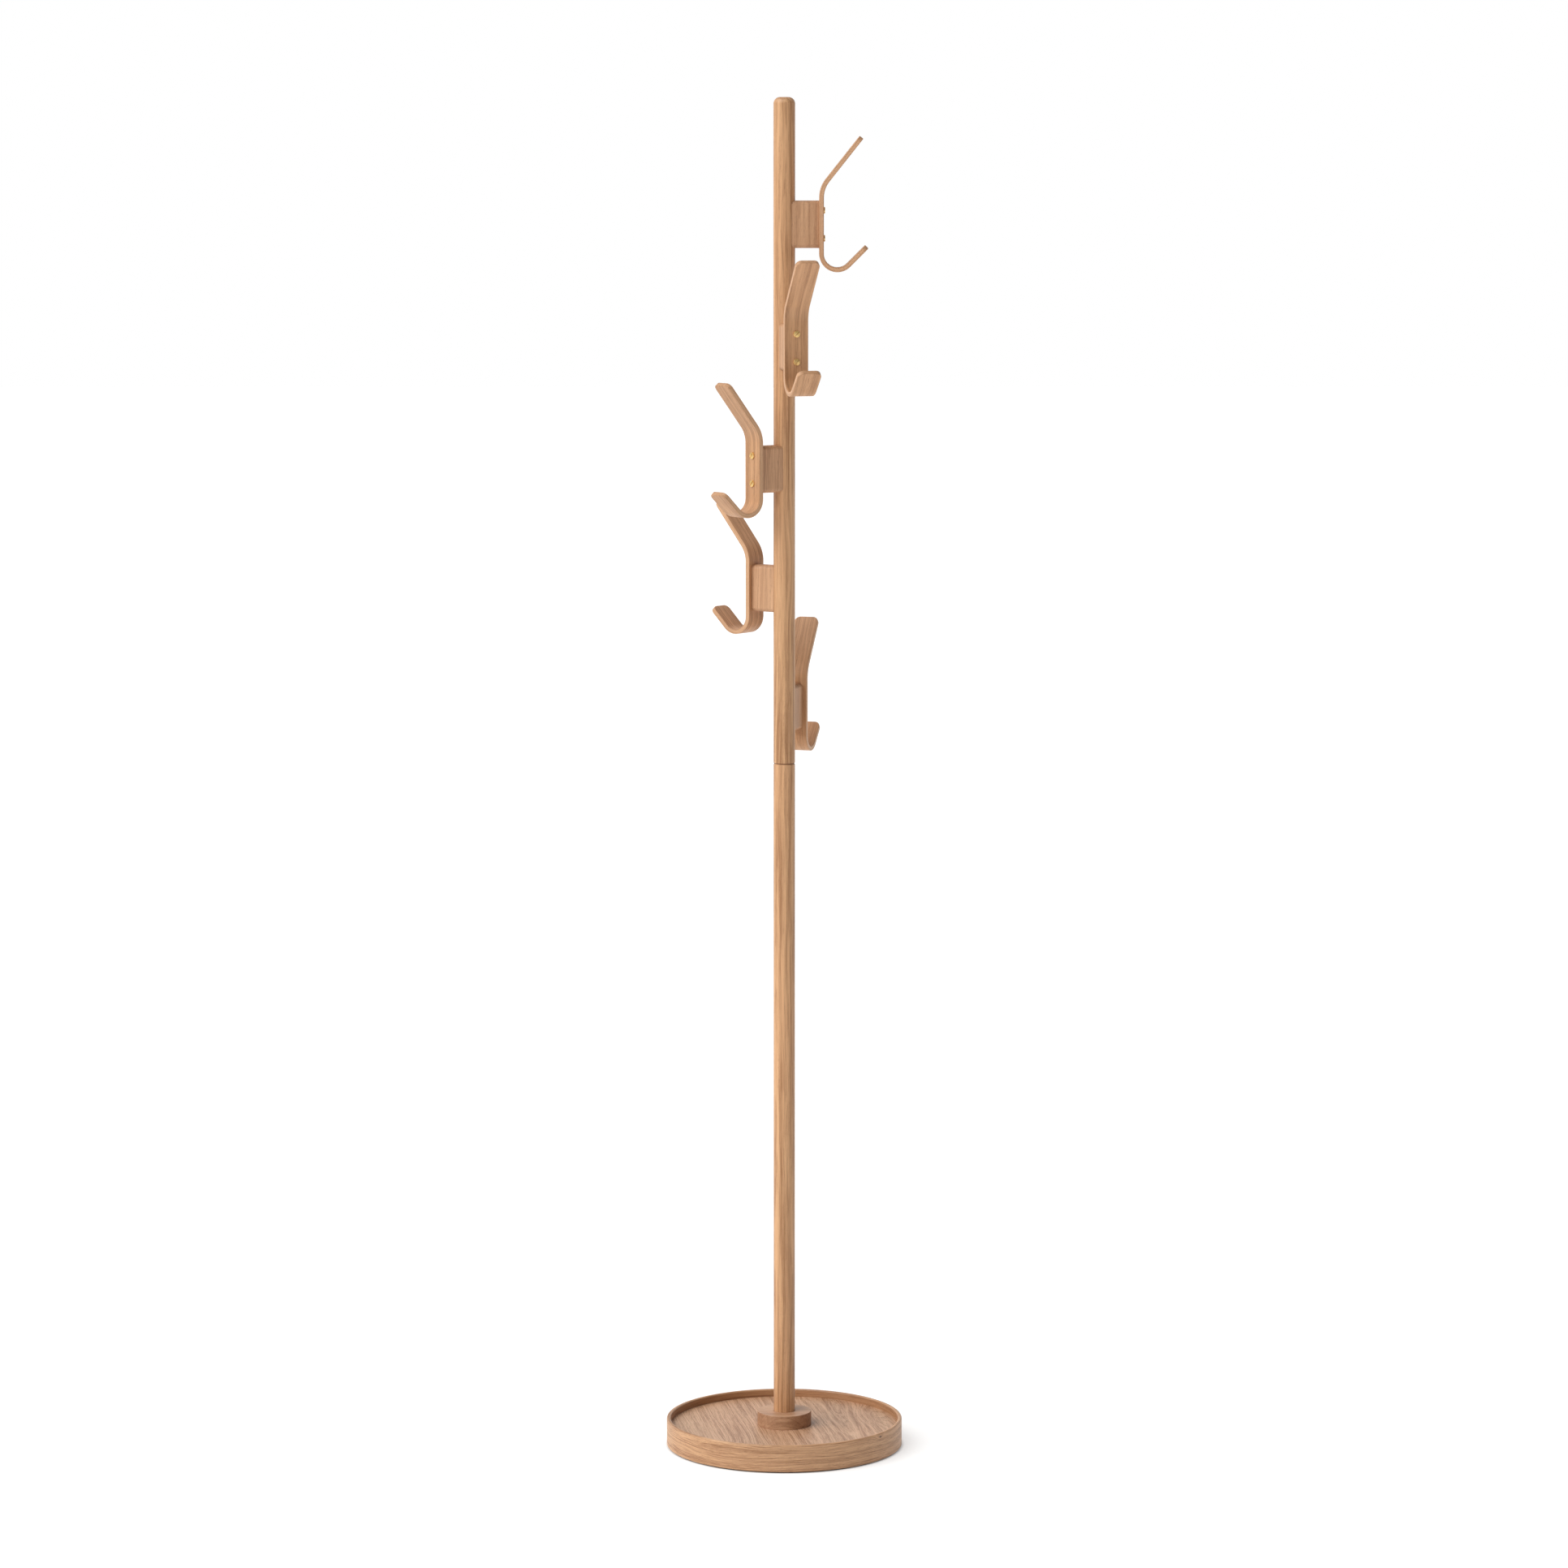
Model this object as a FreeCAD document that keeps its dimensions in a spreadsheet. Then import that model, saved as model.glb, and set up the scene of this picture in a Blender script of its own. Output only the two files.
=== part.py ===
"""Standing coat rack, as a parametric FreeCAD document in millimetres, written as one STEP file per node.

+Z is up, the origin is the middle of the base on the surface that it stands on, and the highest hook points
along +X. The hooks go down the pole in a spiral, each a fifth of a turn clockwise from the one above it.
"""

import math
import os

import FreeCAD
import Part
import Sketcher
from FreeCAD import Placement, Rotation, Vector

HOOK_COUNT = 5
FOOT_PAD_COUNT = 4
COVER_SCREW_COUNT = 6
COLLAR_SCREW_COUNT = 3

DRIVING_DIMENSIONS = {
    # pole
    "pole_diameter": 28,
    "pole_top_height": 1775,
    "pole_seam_height": 911,
    "pole_top_rounding": 8.5,
    "pole_end_chamfer": 1.1,
    # where the hooks are
    "top_hook_height": 1612,
    "hook_pitch": 157.5,
    # hook strip, whose pole-side face is the standoff away from the pole's axis
    "strip_standoff": 45,
    "strip_thickness": 6,
    "strip_width": 32,
    "strip_tip_rounding": 7.5,
    "strip_edge_rounding": 0.8,
    "upper_bend_radius": 33.5,
    "upper_bend_rise": 34,
    "upper_arm_lean": 38.5,
    "upper_arm_length": 70,
    "lower_bend_radius": 17.5,
    "lower_bend_drop": 37.8,
    "lower_arm_lean": 45,
    "lower_arm_length": 33.3,
    # block between strip and pole
    "block_width": 21,
    "block_height": 61,
    "block_rounding": 5.5,
    # brass screws of the hooks
    "hook_screw_spacing": 36,
    "hook_screw_diameter": 4.2,
    "hook_screw_length": 48,
    "hook_screw_head_diameter": 8.6,
    "hook_screw_head_height": 1.8,
    "hook_screw_slot_width": 1.1,
    "hook_screw_slot_depth": 1,
    "hook_screw_head_chamfer": 0.3,
    # joint between the two halves of the pole, and the one at its foot
    "thread_diameter": 8,
    "insert_diameter": 12,
    "insert_length": 20,
    "stud_length": 60,
    "bolt_length": 40,
    "bolt_head_across_flats": 13,
    "bolt_head_height": 5.3,
    "washer_diameter": 24,
    "washer_thickness": 1.6,
    "thread_end_chamfer": 0.8,
    # base
    "base_diameter": 312,
    "rim_thickness": 5.4,
    "rim_top_height": 37,
    "rim_top_rounding": 2,
    "rim_bottom_rounding": 0.8,
    "tray_depth": 10,
    "board_thickness": 14.5,
    "cover_thickness": 3,
    "ballast_thickness": 8,
    "ballast_opening_diameter": 30,
    "pad_diameter": 24,
    "pad_thickness": 1.5,
    "pad_circle_radius": 120,
    # collar
    "collar_diameter": 71.5,
    "collar_height": 18.5,
    "collar_edge_rounding": 0.6,
    # countersunk screws of the collar and the cover
    "collar_screw_circle_radius": 24.5,
    "collar_screw_diameter": 4,
    "collar_screw_head_diameter": 8,
    "collar_screw_length": 24,
    "cover_screw_circle_radius": 143,
    "cover_screw_diameter": 3,
    "cover_screw_head_diameter": 6,
    "cover_screw_length": 20,
    "countersunk_slot_width": 0.9,
    # fits
    "clearance": 0.1,
    "screw_hole_clearance": 0.3,
}

doc = FreeCAD.newDocument("coat_rack")
dims = doc.addObject("Spreadsheet::Sheet", "dims")
nodes = []


def fill_sheet():
    """Write every driving dimension into the sheet, with its name beside it as the alias."""
    for row, (name, number) in enumerate(DRIVING_DIMENSIONS.items(), start=1):
        dims.set(f"A{row}", name)
        dims.set(f"B{row}", str(number))
        dims.setAlias(f"B{row}", name)
    doc.recompute()


def value(expression):
    """Work out an expression in the sheet's names, as a number."""
    result = dims.evalExpression(expression)
    return float(getattr(result, "Value", result))


def bind(thing, **sizes):
    """Tie each property that is named to its expression."""
    for name, expression in sizes.items():
        thing.setExpression(name, expression)


def finished(thing):
    """Count an object of the document as a node of the coat rack."""
    nodes.append(thing)
    return thing


# ---------------------------------------------------------------- sketches and bodies


def new_body(label):
    body = doc.addObject("PartDesign::Body", label)
    body.Label = label
    return body


def sketch_on(body, role, name, offset=None):
    """Add a sketch on one of the body's own origin planes, moved by offset within that plane's frame."""
    plane = next(item for item in body.Origin.OriginFeatures if item.Role == role)
    sketch = body.newObject("Sketcher::SketchObject", name)
    sketch.AttachmentSupport = [(plane, "")]
    sketch.MapMode = "FlatFace"
    if offset is not None:
        sketch.AttachmentOffset = offset
    return sketch


def constrain(sketch, kind, *references, size=None):
    """Add a constraint, and tie it to an expression when it has a size."""
    if size is None:
        return sketch.addConstraint(Sketcher.Constraint(kind, *references))
    number = value(size)
    if kind == "Angle":
        number = math.radians(number)
        size = f"({size}) * 1 deg"
    index = sketch.addConstraint(Sketcher.Constraint(kind, *references, number))
    sketch.setExpression(f"Constraints[{index}]", size)
    return index


def draw_circle(sketch, diameter, across="0", up="0"):
    """Draw a circle whose diameter and centre are expressions."""
    centre = Vector(value(across), value(up), 0)
    circle = sketch.addGeometry(Part.Circle(centre, Vector(0, 0, 1), value(diameter) / 2))
    constrain(sketch, "Diameter", circle, size=diameter)
    if across == "0":
        constrain(sketch, "PointOnObject", circle, 3, -2)
    else:
        constrain(sketch, "DistanceX", -1, 1, circle, 3, size=across)
    if up == "0":
        constrain(sketch, "PointOnObject", circle, 3, -1)
    else:
        constrain(sketch, "DistanceY", -1, 1, circle, 3, size=up)


def draw_rectangle(sketch, left, right, bottom, top):
    """Draw a rectangle whose four sides are at the expressions given."""
    corners = [
        Vector(value(across), value(up), 0)
        for across, up in ((left, bottom), (right, bottom), (right, top), (left, top))
    ]
    sides = [
        sketch.addGeometry(Part.LineSegment(corners[side], corners[(side + 1) % 4])) for side in range(4)
    ]
    for side, direction in enumerate(("Horizontal", "Vertical", "Horizontal", "Vertical")):
        constrain(sketch, "Coincident", sides[side], 2, sides[(side + 1) % 4], 1)
        constrain(sketch, direction, sides[side])
    constrain(sketch, "DistanceX", -1, 1, sides[0], 1, size=left)
    constrain(sketch, "DistanceX", -1, 1, sides[0], 2, size=right)
    constrain(sketch, "DistanceY", -1, 1, sides[0], 1, size=bottom)
    constrain(sketch, "DistanceY", -1, 1, sides[2], 1, size=top)


def pad(body, sketch, length, centred=False):
    feature = body.newObject("PartDesign::Pad", f"{sketch.Name}_pad")
    feature.Profile = sketch
    bind(feature, Length=length)
    feature.SideType = "Symmetric" if centred else "One side"
    sketch.Visibility = False
    doc.recompute()
    return feature


def pocket(body, sketch, depth=None, backwards=False):
    """Cut a sketch out of the body, right through unless a depth is given, and test that it did cut."""
    volume_before = body.Shape.Volume
    feature = body.newObject("PartDesign::Pocket", f"{sketch.Name}_pocket")
    feature.Profile = sketch
    feature.Reversed = backwards
    if depth is None:
        feature.Type = "ThroughAll"
    else:
        bind(feature, Length=depth)
    sketch.Visibility = False
    doc.recompute()
    if body.Shape.Volume > volume_before - 1:
        raise RuntimeError(f"{feature.Name} cut nothing out of {body.Label}")
    return feature


def repeat_around(body, feature, count):
    """Repeat a feature around the body's Z axis."""
    axis = next(item for item in body.Origin.OriginFeatures if item.Role == "Z_Axis")
    pattern = body.newObject("PartDesign::PolarPattern", f"{feature.Name}_pattern")
    pattern.Originals = [feature]
    pattern.Axis = (axis, [""])
    pattern.Angle = 360
    pattern.Occurrences = count
    body.Tip = pattern
    doc.recompute()
    return pattern


def edges_of(body, test):
    """Name the edges of the body's last feature that pass a test."""
    edges = body.Tip.Shape.Edges
    return [f"Edge{number}" for number, edge in enumerate(edges, start=1) if test(edge)]


def dress(body, kind, name, edges, size):
    """Round (Fillet) or bevel (Chamfer) edges of the body's last feature."""
    base = body.Tip
    feature = body.newObject(f"PartDesign::{kind}", name)
    feature.Base = (base, edges)
    bind(feature, **{"Radius" if kind == "Fillet" else "Size": size})
    doc.recompute()
    return feature


def is_ring(edge, radius, height=None):
    """Tell whether an edge is a circle of that radius, at that height when one is given."""
    if not isinstance(edge.Curve, Part.Circle) or abs(edge.Curve.Radius - radius) > 0.001:
        return False
    return height is None or abs(edge.Curve.Center.z - height) < 0.001


def runs_along(edge, direction):
    """Tell whether an edge is a straight line along a direction."""
    if not isinstance(edge.Curve, Part.Line):
        return False
    return edge.Curve.Direction.cross(direction).Length < 0.001


# ---------------------------------------------------------------- hooks and blocks


def hook_height(index):
    return f"dims.top_hook_height - {index} * dims.hook_pitch"


def hook_turn(index):
    """The rotation about the pole that takes +X to the direction in which a hook points."""
    return Rotation(Vector(0, 0, 1), -index * 360 / HOOK_COUNT)


def hook_place(index):
    return Placement(Vector(0, 0, value(hook_height(index))), hook_turn(index))


def draw_hook_outline(sketch):
    """Draw the side view of a bent strip, with x outward from the pole and y up from the block's middle.

    Both faces of the strip run from the tip of the upper arm, round the upper bend, down the straight back
    and round the lower bend to the tip of the lower arm.
    """
    near_x = value("dims.strip_standoff")
    thickness = value("dims.strip_thickness")
    far_x = near_x + thickness
    upper_radius = value("dims.upper_bend_radius")
    lower_radius = value("dims.lower_bend_radius")
    upper_centre = Vector(far_x + upper_radius, value("dims.upper_bend_rise"), 0)
    lower_centre = Vector(far_x + lower_radius, -value("dims.lower_bend_drop"), 0)
    upper_lean = math.radians(value("dims.upper_arm_lean"))
    lower_lean = math.radians(value("dims.lower_arm_lean"))
    upper_way = Vector(math.sin(upper_lean), math.cos(upper_lean), 0)
    lower_way = Vector(math.sin(lower_lean), math.cos(lower_lean), 0)
    upper_reach = upper_way * value("dims.upper_arm_length")
    lower_reach = lower_way * value("dims.lower_arm_length")

    def face(back_x, extra):
        """Draw one face of the strip, whose bends have the outer face's radii plus extra."""
        upper_start = upper_centre + Vector(-upper_way.y, upper_way.x, 0) * (upper_radius + extra)
        lower_end = lower_centre + Vector(lower_way.y, -lower_way.x, 0) * (lower_radius + extra)
        upper_circle = Part.Circle(upper_centre, Vector(0, 0, 1), upper_radius + extra)
        lower_circle = Part.Circle(lower_centre, Vector(0, 0, 1), lower_radius + extra)
        upper_arm = sketch.addGeometry(Part.LineSegment(upper_start + upper_reach, upper_start))
        upper_bend = sketch.addGeometry(Part.ArcOfCircle(upper_circle, math.pi - upper_lean, math.pi))
        back = sketch.addGeometry(
            Part.LineSegment(Vector(back_x, upper_centre.y, 0), Vector(back_x, lower_centre.y, 0))
        )
        lower_bend = sketch.addGeometry(
            Part.ArcOfCircle(lower_circle, math.pi, 2 * math.pi - lower_lean)
        )
        lower_arm = sketch.addGeometry(Part.LineSegment(lower_end, lower_end + lower_reach))
        constrain(sketch, "Tangent", upper_arm, 2, upper_bend, 1)
        constrain(sketch, "Tangent", upper_bend, 2, back, 1)
        constrain(sketch, "Tangent", back, 2, lower_bend, 1)
        constrain(sketch, "Tangent", lower_bend, 2, lower_arm, 1)
        constrain(sketch, "Vertical", back)
        return upper_arm, upper_bend, back, lower_bend, lower_arm

    near = face(near_x, thickness)
    far = face(far_x, 0)
    for place, end in ((0, 1), (4, 2)):
        ends = [sketch.getPoint(line, end) for line in (near[place], far[place])]
        tip = sketch.addGeometry(Part.LineSegment(*ends))
        constrain(sketch, "Coincident", near[place], end, tip, 1)
        constrain(sketch, "Coincident", far[place], end, tip, 2)
        constrain(sketch, "Perpendicular", near[place], tip)
        constrain(sketch, "Parallel", near[place], far[place])
    for bend in (1, 3):
        constrain(sketch, "Coincident", near[bend], 3, far[bend], 3)
    constrain(sketch, "DistanceX", -1, 1, near[2], 1, size="dims.strip_standoff")
    constrain(sketch, "DistanceX", near[2], 1, far[2], 1, size="dims.strip_thickness")
    constrain(sketch, "DistanceY", -1, 1, far[1], 3, size="dims.upper_bend_rise")
    constrain(sketch, "DistanceY", far[3], 3, -1, 1, size="dims.lower_bend_drop")
    constrain(sketch, "Radius", far[1], size="dims.upper_bend_radius")
    constrain(sketch, "Radius", far[3], size="dims.lower_bend_radius")
    constrain(sketch, "Distance", far[0], size="dims.upper_arm_length")
    constrain(sketch, "Distance", far[4], size="dims.lower_arm_length")
    constrain(sketch, "Angle", far[2], 1, far[0], 2, size="180 - dims.upper_arm_lean")
    constrain(sketch, "Angle", far[4], 1, far[2], 2, size="dims.lower_arm_lean")


def draw_screw_holes(sketch, diameter, middle="0"):
    """Draw the two holes of a hook's screws, one above and one below the middle height."""
    for sign in ("+", "-"):
        draw_circle(sketch, diameter, up=f"{middle} {sign} dims.hook_screw_spacing / 2")


def make_hook(index):
    """Bend, round and drill one laminated strip."""
    label = f"hook_{index + 1}"
    body = new_body(label)
    outline = sketch_on(body, "XZ_Plane", f"{label}_outline")
    draw_hook_outline(outline)
    pad(body, outline, "dims.strip_width", centred=True)

    thickness = value("dims.strip_thickness")
    half_width = value("dims.strip_width") / 2
    corners = edges_of(
        body,
        lambda edge: isinstance(edge.Curve, Part.Line)
        and abs(edge.Length - thickness) < 0.001
        and abs(abs(edge.CenterOfMass.y) - half_width) < 0.001,
    )
    dress(body, "Fillet", f"{label}_tips", corners, "dims.strip_tip_rounding")
    outline_edges = edges_of(
        body,
        lambda edge: max(abs(vertex.Y) for vertex in edge.Vertexes) > half_width - 0.001
        and abs(edge.Length - thickness) > 0.001,
    )
    dress(body, "Fillet", f"{label}_edges", outline_edges, "dims.strip_edge_rounding")

    holes = sketch_on(body, "YZ_Plane", f"{label}_holes")
    draw_screw_holes(holes, "dims.hook_screw_diameter + dims.screw_hole_clearance")
    pocket(body, holes, backwards=True)
    body.Placement = hook_place(index)
    return finished(body)


def make_spacer_block(index):
    """Shape one block: rounded along its length, coped to the pole and drilled for the screws."""
    label = f"spacer_block_{index + 1}"
    body = new_body(label)
    section = sketch_on(body, "YZ_Plane", f"{label}_section")
    draw_rectangle(
        section,
        "-dims.block_width / 2",
        "dims.block_width / 2",
        "-dims.block_height / 2",
        "dims.block_height / 2",
    )
    pad(body, section, "dims.strip_standoff")
    long_edges = edges_of(body, lambda edge: runs_along(edge, Vector(1, 0, 0)))
    dress(body, "Fillet", f"{label}_rounding", long_edges, "dims.block_rounding")

    cope = sketch_on(body, "XY_Plane", f"{label}_cope")
    draw_circle(cope, "dims.pole_diameter + 2 * dims.clearance")
    cope_cut = pocket(body, cope)
    cope_cut.SideType = "Two sides"
    cope_cut.Type2 = "ThroughAll"
    doc.recompute()

    holes = sketch_on(body, "YZ_Plane", f"{label}_holes")
    draw_screw_holes(holes, "dims.hook_screw_diameter + dims.screw_hole_clearance")
    pocket(body, holes, backwards=True)
    body.Placement = hook_place(index)
    return finished(body)


# ---------------------------------------------------------------- screws


def primitive(kind, name, place=None, **sizes):
    """Add one of the Part primitives, with its sizes bound to expressions."""
    solid = doc.addObject(f"Part::{kind}", name)
    bind(solid, **sizes)
    if place is not None:
        solid.Placement = place
    return solid


def fuse(name, solids):
    joined = doc.addObject("Part::MultiFuse", name)
    joined.Shapes = solids
    return joined


def cut(name, base, tool):
    difference = doc.addObject("Part::Cut", name)
    difference.Base = base
    difference.Tool = tool
    return difference


def slot_box(name, length, width, depth, turn, top):
    """A box along X that cuts a slot down from the height top, turned about the screw's axis."""
    rotation = Rotation(Vector(0, 0, 1), turn)
    corner = Vector(-value(length) / 2, -value(width) / 2, value(top) - value(depth))
    return primitive(
        "Box", name, Placement(rotation.multVec(corner), rotation), Length=length, Width=width, Height=depth
    )


def make_hook_screw(name, place):
    """One slotted cheese-head screw, with its head above the plane z = 0 and its shank below."""
    sheet = "dims.hook_screw_"
    chamfer = f"{sheet}head_chamfer"
    lower_head = primitive(
        "Cylinder",
        f"{name}_head",
        Radius=f"{sheet}head_diameter / 2",
        Height=f"{sheet}head_height - {chamfer}",
    )
    upper_head = primitive(
        "Cone",
        f"{name}_bevel",
        Placement(Vector(0, 0, value(f"{sheet}head_height - {chamfer}")), Rotation()),
        Radius1=f"{sheet}head_diameter / 2",
        Radius2=f"{sheet}head_diameter / 2 - {chamfer}",
        Height=chamfer,
    )
    point_length = f"{sheet}diameter * 1.5"
    shank = primitive(
        "Cylinder",
        f"{name}_shank",
        Placement(Vector(0, 0, -value(f"{sheet}length - {point_length}")), Rotation()),
        Radius=f"{sheet}diameter / 2",
        Height=f"{sheet}length - {point_length}",
    )
    point = primitive(
        "Cone",
        f"{name}_point",
        Placement(Vector(0, 0, -value(f"{sheet}length")), Rotation()),
        Radius1=f"{sheet}diameter / 12",
        Radius2=f"{sheet}diameter / 2",
        Height=point_length,
    )
    # The screw is later tipped over to point at the pole, which makes 135 degrees here a slot that rises to
    # the right.
    slot = slot_box(
        f"{name}_slot",
        f"{sheet}head_diameter * 2",
        f"{sheet}slot_width",
        f"{sheet}slot_depth",
        135,
        f"{sheet}head_height",
    )
    screw = cut(name, fuse(f"{name}_blank", [lower_head, upper_head, shank, point]), slot)
    screw.Placement = place
    return screw


def make_countersunk_screw(name, sheet, place):
    """One slotted countersunk screw, with its head flush with the plane z = 0 and all of it above."""
    head_height = f"({sheet}_head_diameter - {sheet}_diameter) / 2"
    head = primitive(
        "Cone",
        f"{name}_head",
        Radius1=f"{sheet}_head_diameter / 2",
        Radius2=f"{sheet}_diameter / 2",
        Height=head_height,
    )
    shank = primitive(
        "Cylinder",
        f"{name}_shank",
        Placement(Vector(0, 0, value(head_height)), Rotation()),
        Radius=f"{sheet}_diameter / 2",
        Height=f"{sheet}_length - {head_height}",
    )
    slot_depth = f"({head_height}) / 2"
    slot = slot_box(
        f"{name}_slot",
        f"{sheet}_head_diameter * 2",
        "dims.countersunk_slot_width",
        slot_depth,
        45,
        slot_depth,
    )
    screw = cut(name, fuse(f"{name}_blank", [head, shank]), slot)
    screw.Placement = place
    return screw


def group(label, solids):
    """Put alike solids together in one node."""
    compound = doc.addObject("Part::Compound", label)
    compound.Label = label
    compound.Links = solids
    return finished(compound)


def make_hook_screws(index):
    """The two screws that go through a hook and its block into the pole."""
    label = f"hook_screws_{index + 1}"
    head_seat = value("dims.strip_standoff + dims.strip_thickness")
    outward = hook_turn(index).multiply(Rotation(Vector(0, 1, 0), 90))
    screws = []
    for name, sign in (("upper", 1), ("lower", -1)):
        height = value(hook_height(index)) + sign * value("dims.hook_screw_spacing") / 2
        seat = hook_turn(index).multVec(Vector(head_seat, 0, height))
        screws.append(make_hook_screw(f"{label}_{name}", Placement(seat, outward)))
    return group(label, screws)


def around(count, radius, height, first_angle=0):
    """Places evenly around the Z axis at one radius and height."""
    places = []
    for step in range(count):
        rotation = Rotation(Vector(0, 0, 1), first_angle + step * 360 / count)
        places.append(Placement(rotation.multVec(Vector(value(radius), 0, value(height))), rotation))
    return places


# ---------------------------------------------------------------- pole and its fittings


def bore(body, name, diameter, depth, from_top=None):
    """Drill up from the body's XY plane, or down from a height when one is given."""
    offset = None if from_top is None else Placement(Vector(0, 0, value(from_top)), Rotation())
    sketch = sketch_on(body, "XY_Plane", name, offset)
    draw_circle(sketch, diameter)
    pocket(body, sketch, depth, backwards=from_top is None)


INSERT_HOLE = "dims.insert_diameter + 2 * dims.clearance"
THREAD_HOLE = "dims.thread_diameter + 4 * dims.clearance"
STUD_REACH = "dims.stud_length / 2 + 2"
POLE_FOOT = "dims.rim_top_height - dims.tray_depth"


def make_pole_upper():
    """Upper half of the pole, with a rounded top, pilot holes for the hooks and a socket for the stud."""
    body = new_body("pole_upper")
    length = "dims.pole_top_height - dims.pole_seam_height"
    radius = value("dims.pole_diameter / 2")
    section = sketch_on(body, "XY_Plane", "pole_upper_section")
    draw_circle(section, "dims.pole_diameter")
    pad(body, section, length)
    top_edge = edges_of(body, lambda edge: is_ring(edge, radius, value(length)))
    dress(body, "Fillet", "pole_upper_top", top_edge, "dims.pole_top_rounding")
    seam_edge = edges_of(body, lambda edge: is_ring(edge, radius, 0))
    dress(body, "Chamfer", "pole_upper_seam", seam_edge, "dims.pole_end_chamfer")
    bore(body, "pole_upper_insert_hole", INSERT_HOLE, "dims.insert_length")
    bore(body, "pole_upper_stud_hole", THREAD_HOLE, STUD_REACH)

    screw_end = value("dims.strip_standoff + dims.strip_thickness - dims.hook_screw_length")
    for index in range(HOOK_COUNT):
        turn = Rotation(Vector(0, 1, 0), -index * 360 / HOOK_COUNT)
        offset = Placement(turn.multVec(Vector(0, 0, screw_end)), turn)
        pilots = sketch_on(body, "YZ_Plane", f"pilot_holes_{index + 1}", offset)
        height = f"{hook_height(index)} - dims.pole_seam_height"
        draw_screw_holes(pilots, "dims.hook_screw_diameter + dims.screw_hole_clearance", height)
        pocket(body, pilots, backwards=True)
    body.Placement = Placement(Vector(0, 0, value("dims.pole_seam_height")), Rotation())
    return finished(body)


def make_pole_lower():
    """Lower half of the pole, with a socket for the stud at the top and one for the bolt at the foot."""
    body = new_body("pole_lower")
    length = f"dims.pole_seam_height - ({POLE_FOOT})"
    radius = value("dims.pole_diameter / 2")
    section = sketch_on(body, "XY_Plane", "pole_lower_section")
    draw_circle(section, "dims.pole_diameter")
    pad(body, section, length)
    end_edges = edges_of(body, lambda edge: is_ring(edge, radius))
    dress(body, "Chamfer", "pole_lower_ends", end_edges, "dims.pole_end_chamfer")
    bore(body, "pole_lower_top_insert_hole", INSERT_HOLE, "dims.insert_length", length)
    bore(body, "pole_lower_stud_hole", THREAD_HOLE, STUD_REACH, length)
    bore(body, "pole_lower_foot_insert_hole", INSERT_HOLE, "dims.insert_length")
    bore(body, "pole_lower_bolt_hole", THREAD_HOLE, "dims.bolt_length")
    body.Placement = Placement(Vector(0, 0, value(POLE_FOOT)), Rotation())
    return finished(body)


def make_insert(label, height):
    """A threaded insert, as a plain bush, with its lower end at the height given."""
    outside = primitive(
        "Cylinder", f"{label}_outside", Radius="dims.insert_diameter / 2", Height="dims.insert_length"
    )
    thread = primitive(
        "Cylinder",
        f"{label}_thread",
        Radius="dims.thread_diameter / 2 + dims.clearance",
        Height="dims.insert_length",
    )
    insert = cut(label, outside, thread)
    insert.Label = label
    insert.Placement = Placement(Vector(0, 0, value(height)), Rotation())
    return finished(insert)


def make_pole_stud():
    """The threaded stud, half in each half of the pole."""
    body = new_body("pole_stud")
    section = sketch_on(body, "XY_Plane", "pole_stud_section")
    draw_circle(section, "dims.thread_diameter")
    pad(body, section, "dims.stud_length", centred=True)
    end_edges = edges_of(body, lambda edge: is_ring(edge, value("dims.thread_diameter / 2")))
    dress(body, "Chamfer", "pole_stud_ends", end_edges, "dims.thread_end_chamfer")
    body.Placement = Placement(Vector(0, 0, value("dims.pole_seam_height")), Rotation())
    return finished(body)


# ---------------------------------------------------------------- base

COVER_TOP = "dims.pad_thickness + dims.cover_thickness"
BOARD_TOP = POLE_FOOT
BOARD_BOTTOM = f"{BOARD_TOP} - dims.board_thickness"
INSIDE_RIM = "dims.base_diameter - 2 * dims.rim_thickness - 2 * dims.clearance"


def make_base_washer():
    """Washer between the bolt's head and the board."""
    outside = primitive(
        "Cylinder", "base_washer_outside", Radius="dims.washer_diameter / 2", Height="dims.washer_thickness"
    )
    hole = primitive(
        "Cylinder",
        "base_washer_hole",
        Radius="dims.thread_diameter / 2 + dims.clearance",
        Height="dims.washer_thickness",
    )
    washer = cut("base_washer", outside, hole)
    washer.Label = "base_washer"
    washer.Placement = Placement(Vector(0, 0, value(f"{BOARD_BOTTOM} - dims.washer_thickness")), Rotation())
    return finished(washer)


def make_base_bolt():
    """Hexagon bolt that comes up through the board into the foot of the pole."""
    head = primitive(
        "Prism",
        "base_bolt_head",
        Circumradius="dims.bolt_head_across_flats / 2 / cos(30 deg)",
        Height="dims.bolt_head_height",
    )
    head.Polygon = 6
    shank = primitive(
        "Cylinder",
        "base_bolt_shank",
        Radius="dims.thread_diameter / 2",
        Height="dims.bolt_head_height + dims.bolt_length",
    )
    bolt = fuse("base_bolt", [head, shank])
    bolt.Label = "base_bolt"
    underside = f"{BOARD_BOTTOM} - dims.washer_thickness - dims.bolt_head_height"
    bolt.Placement = Placement(Vector(0, 0, value(underside)), Rotation())
    return finished(bolt)


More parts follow.
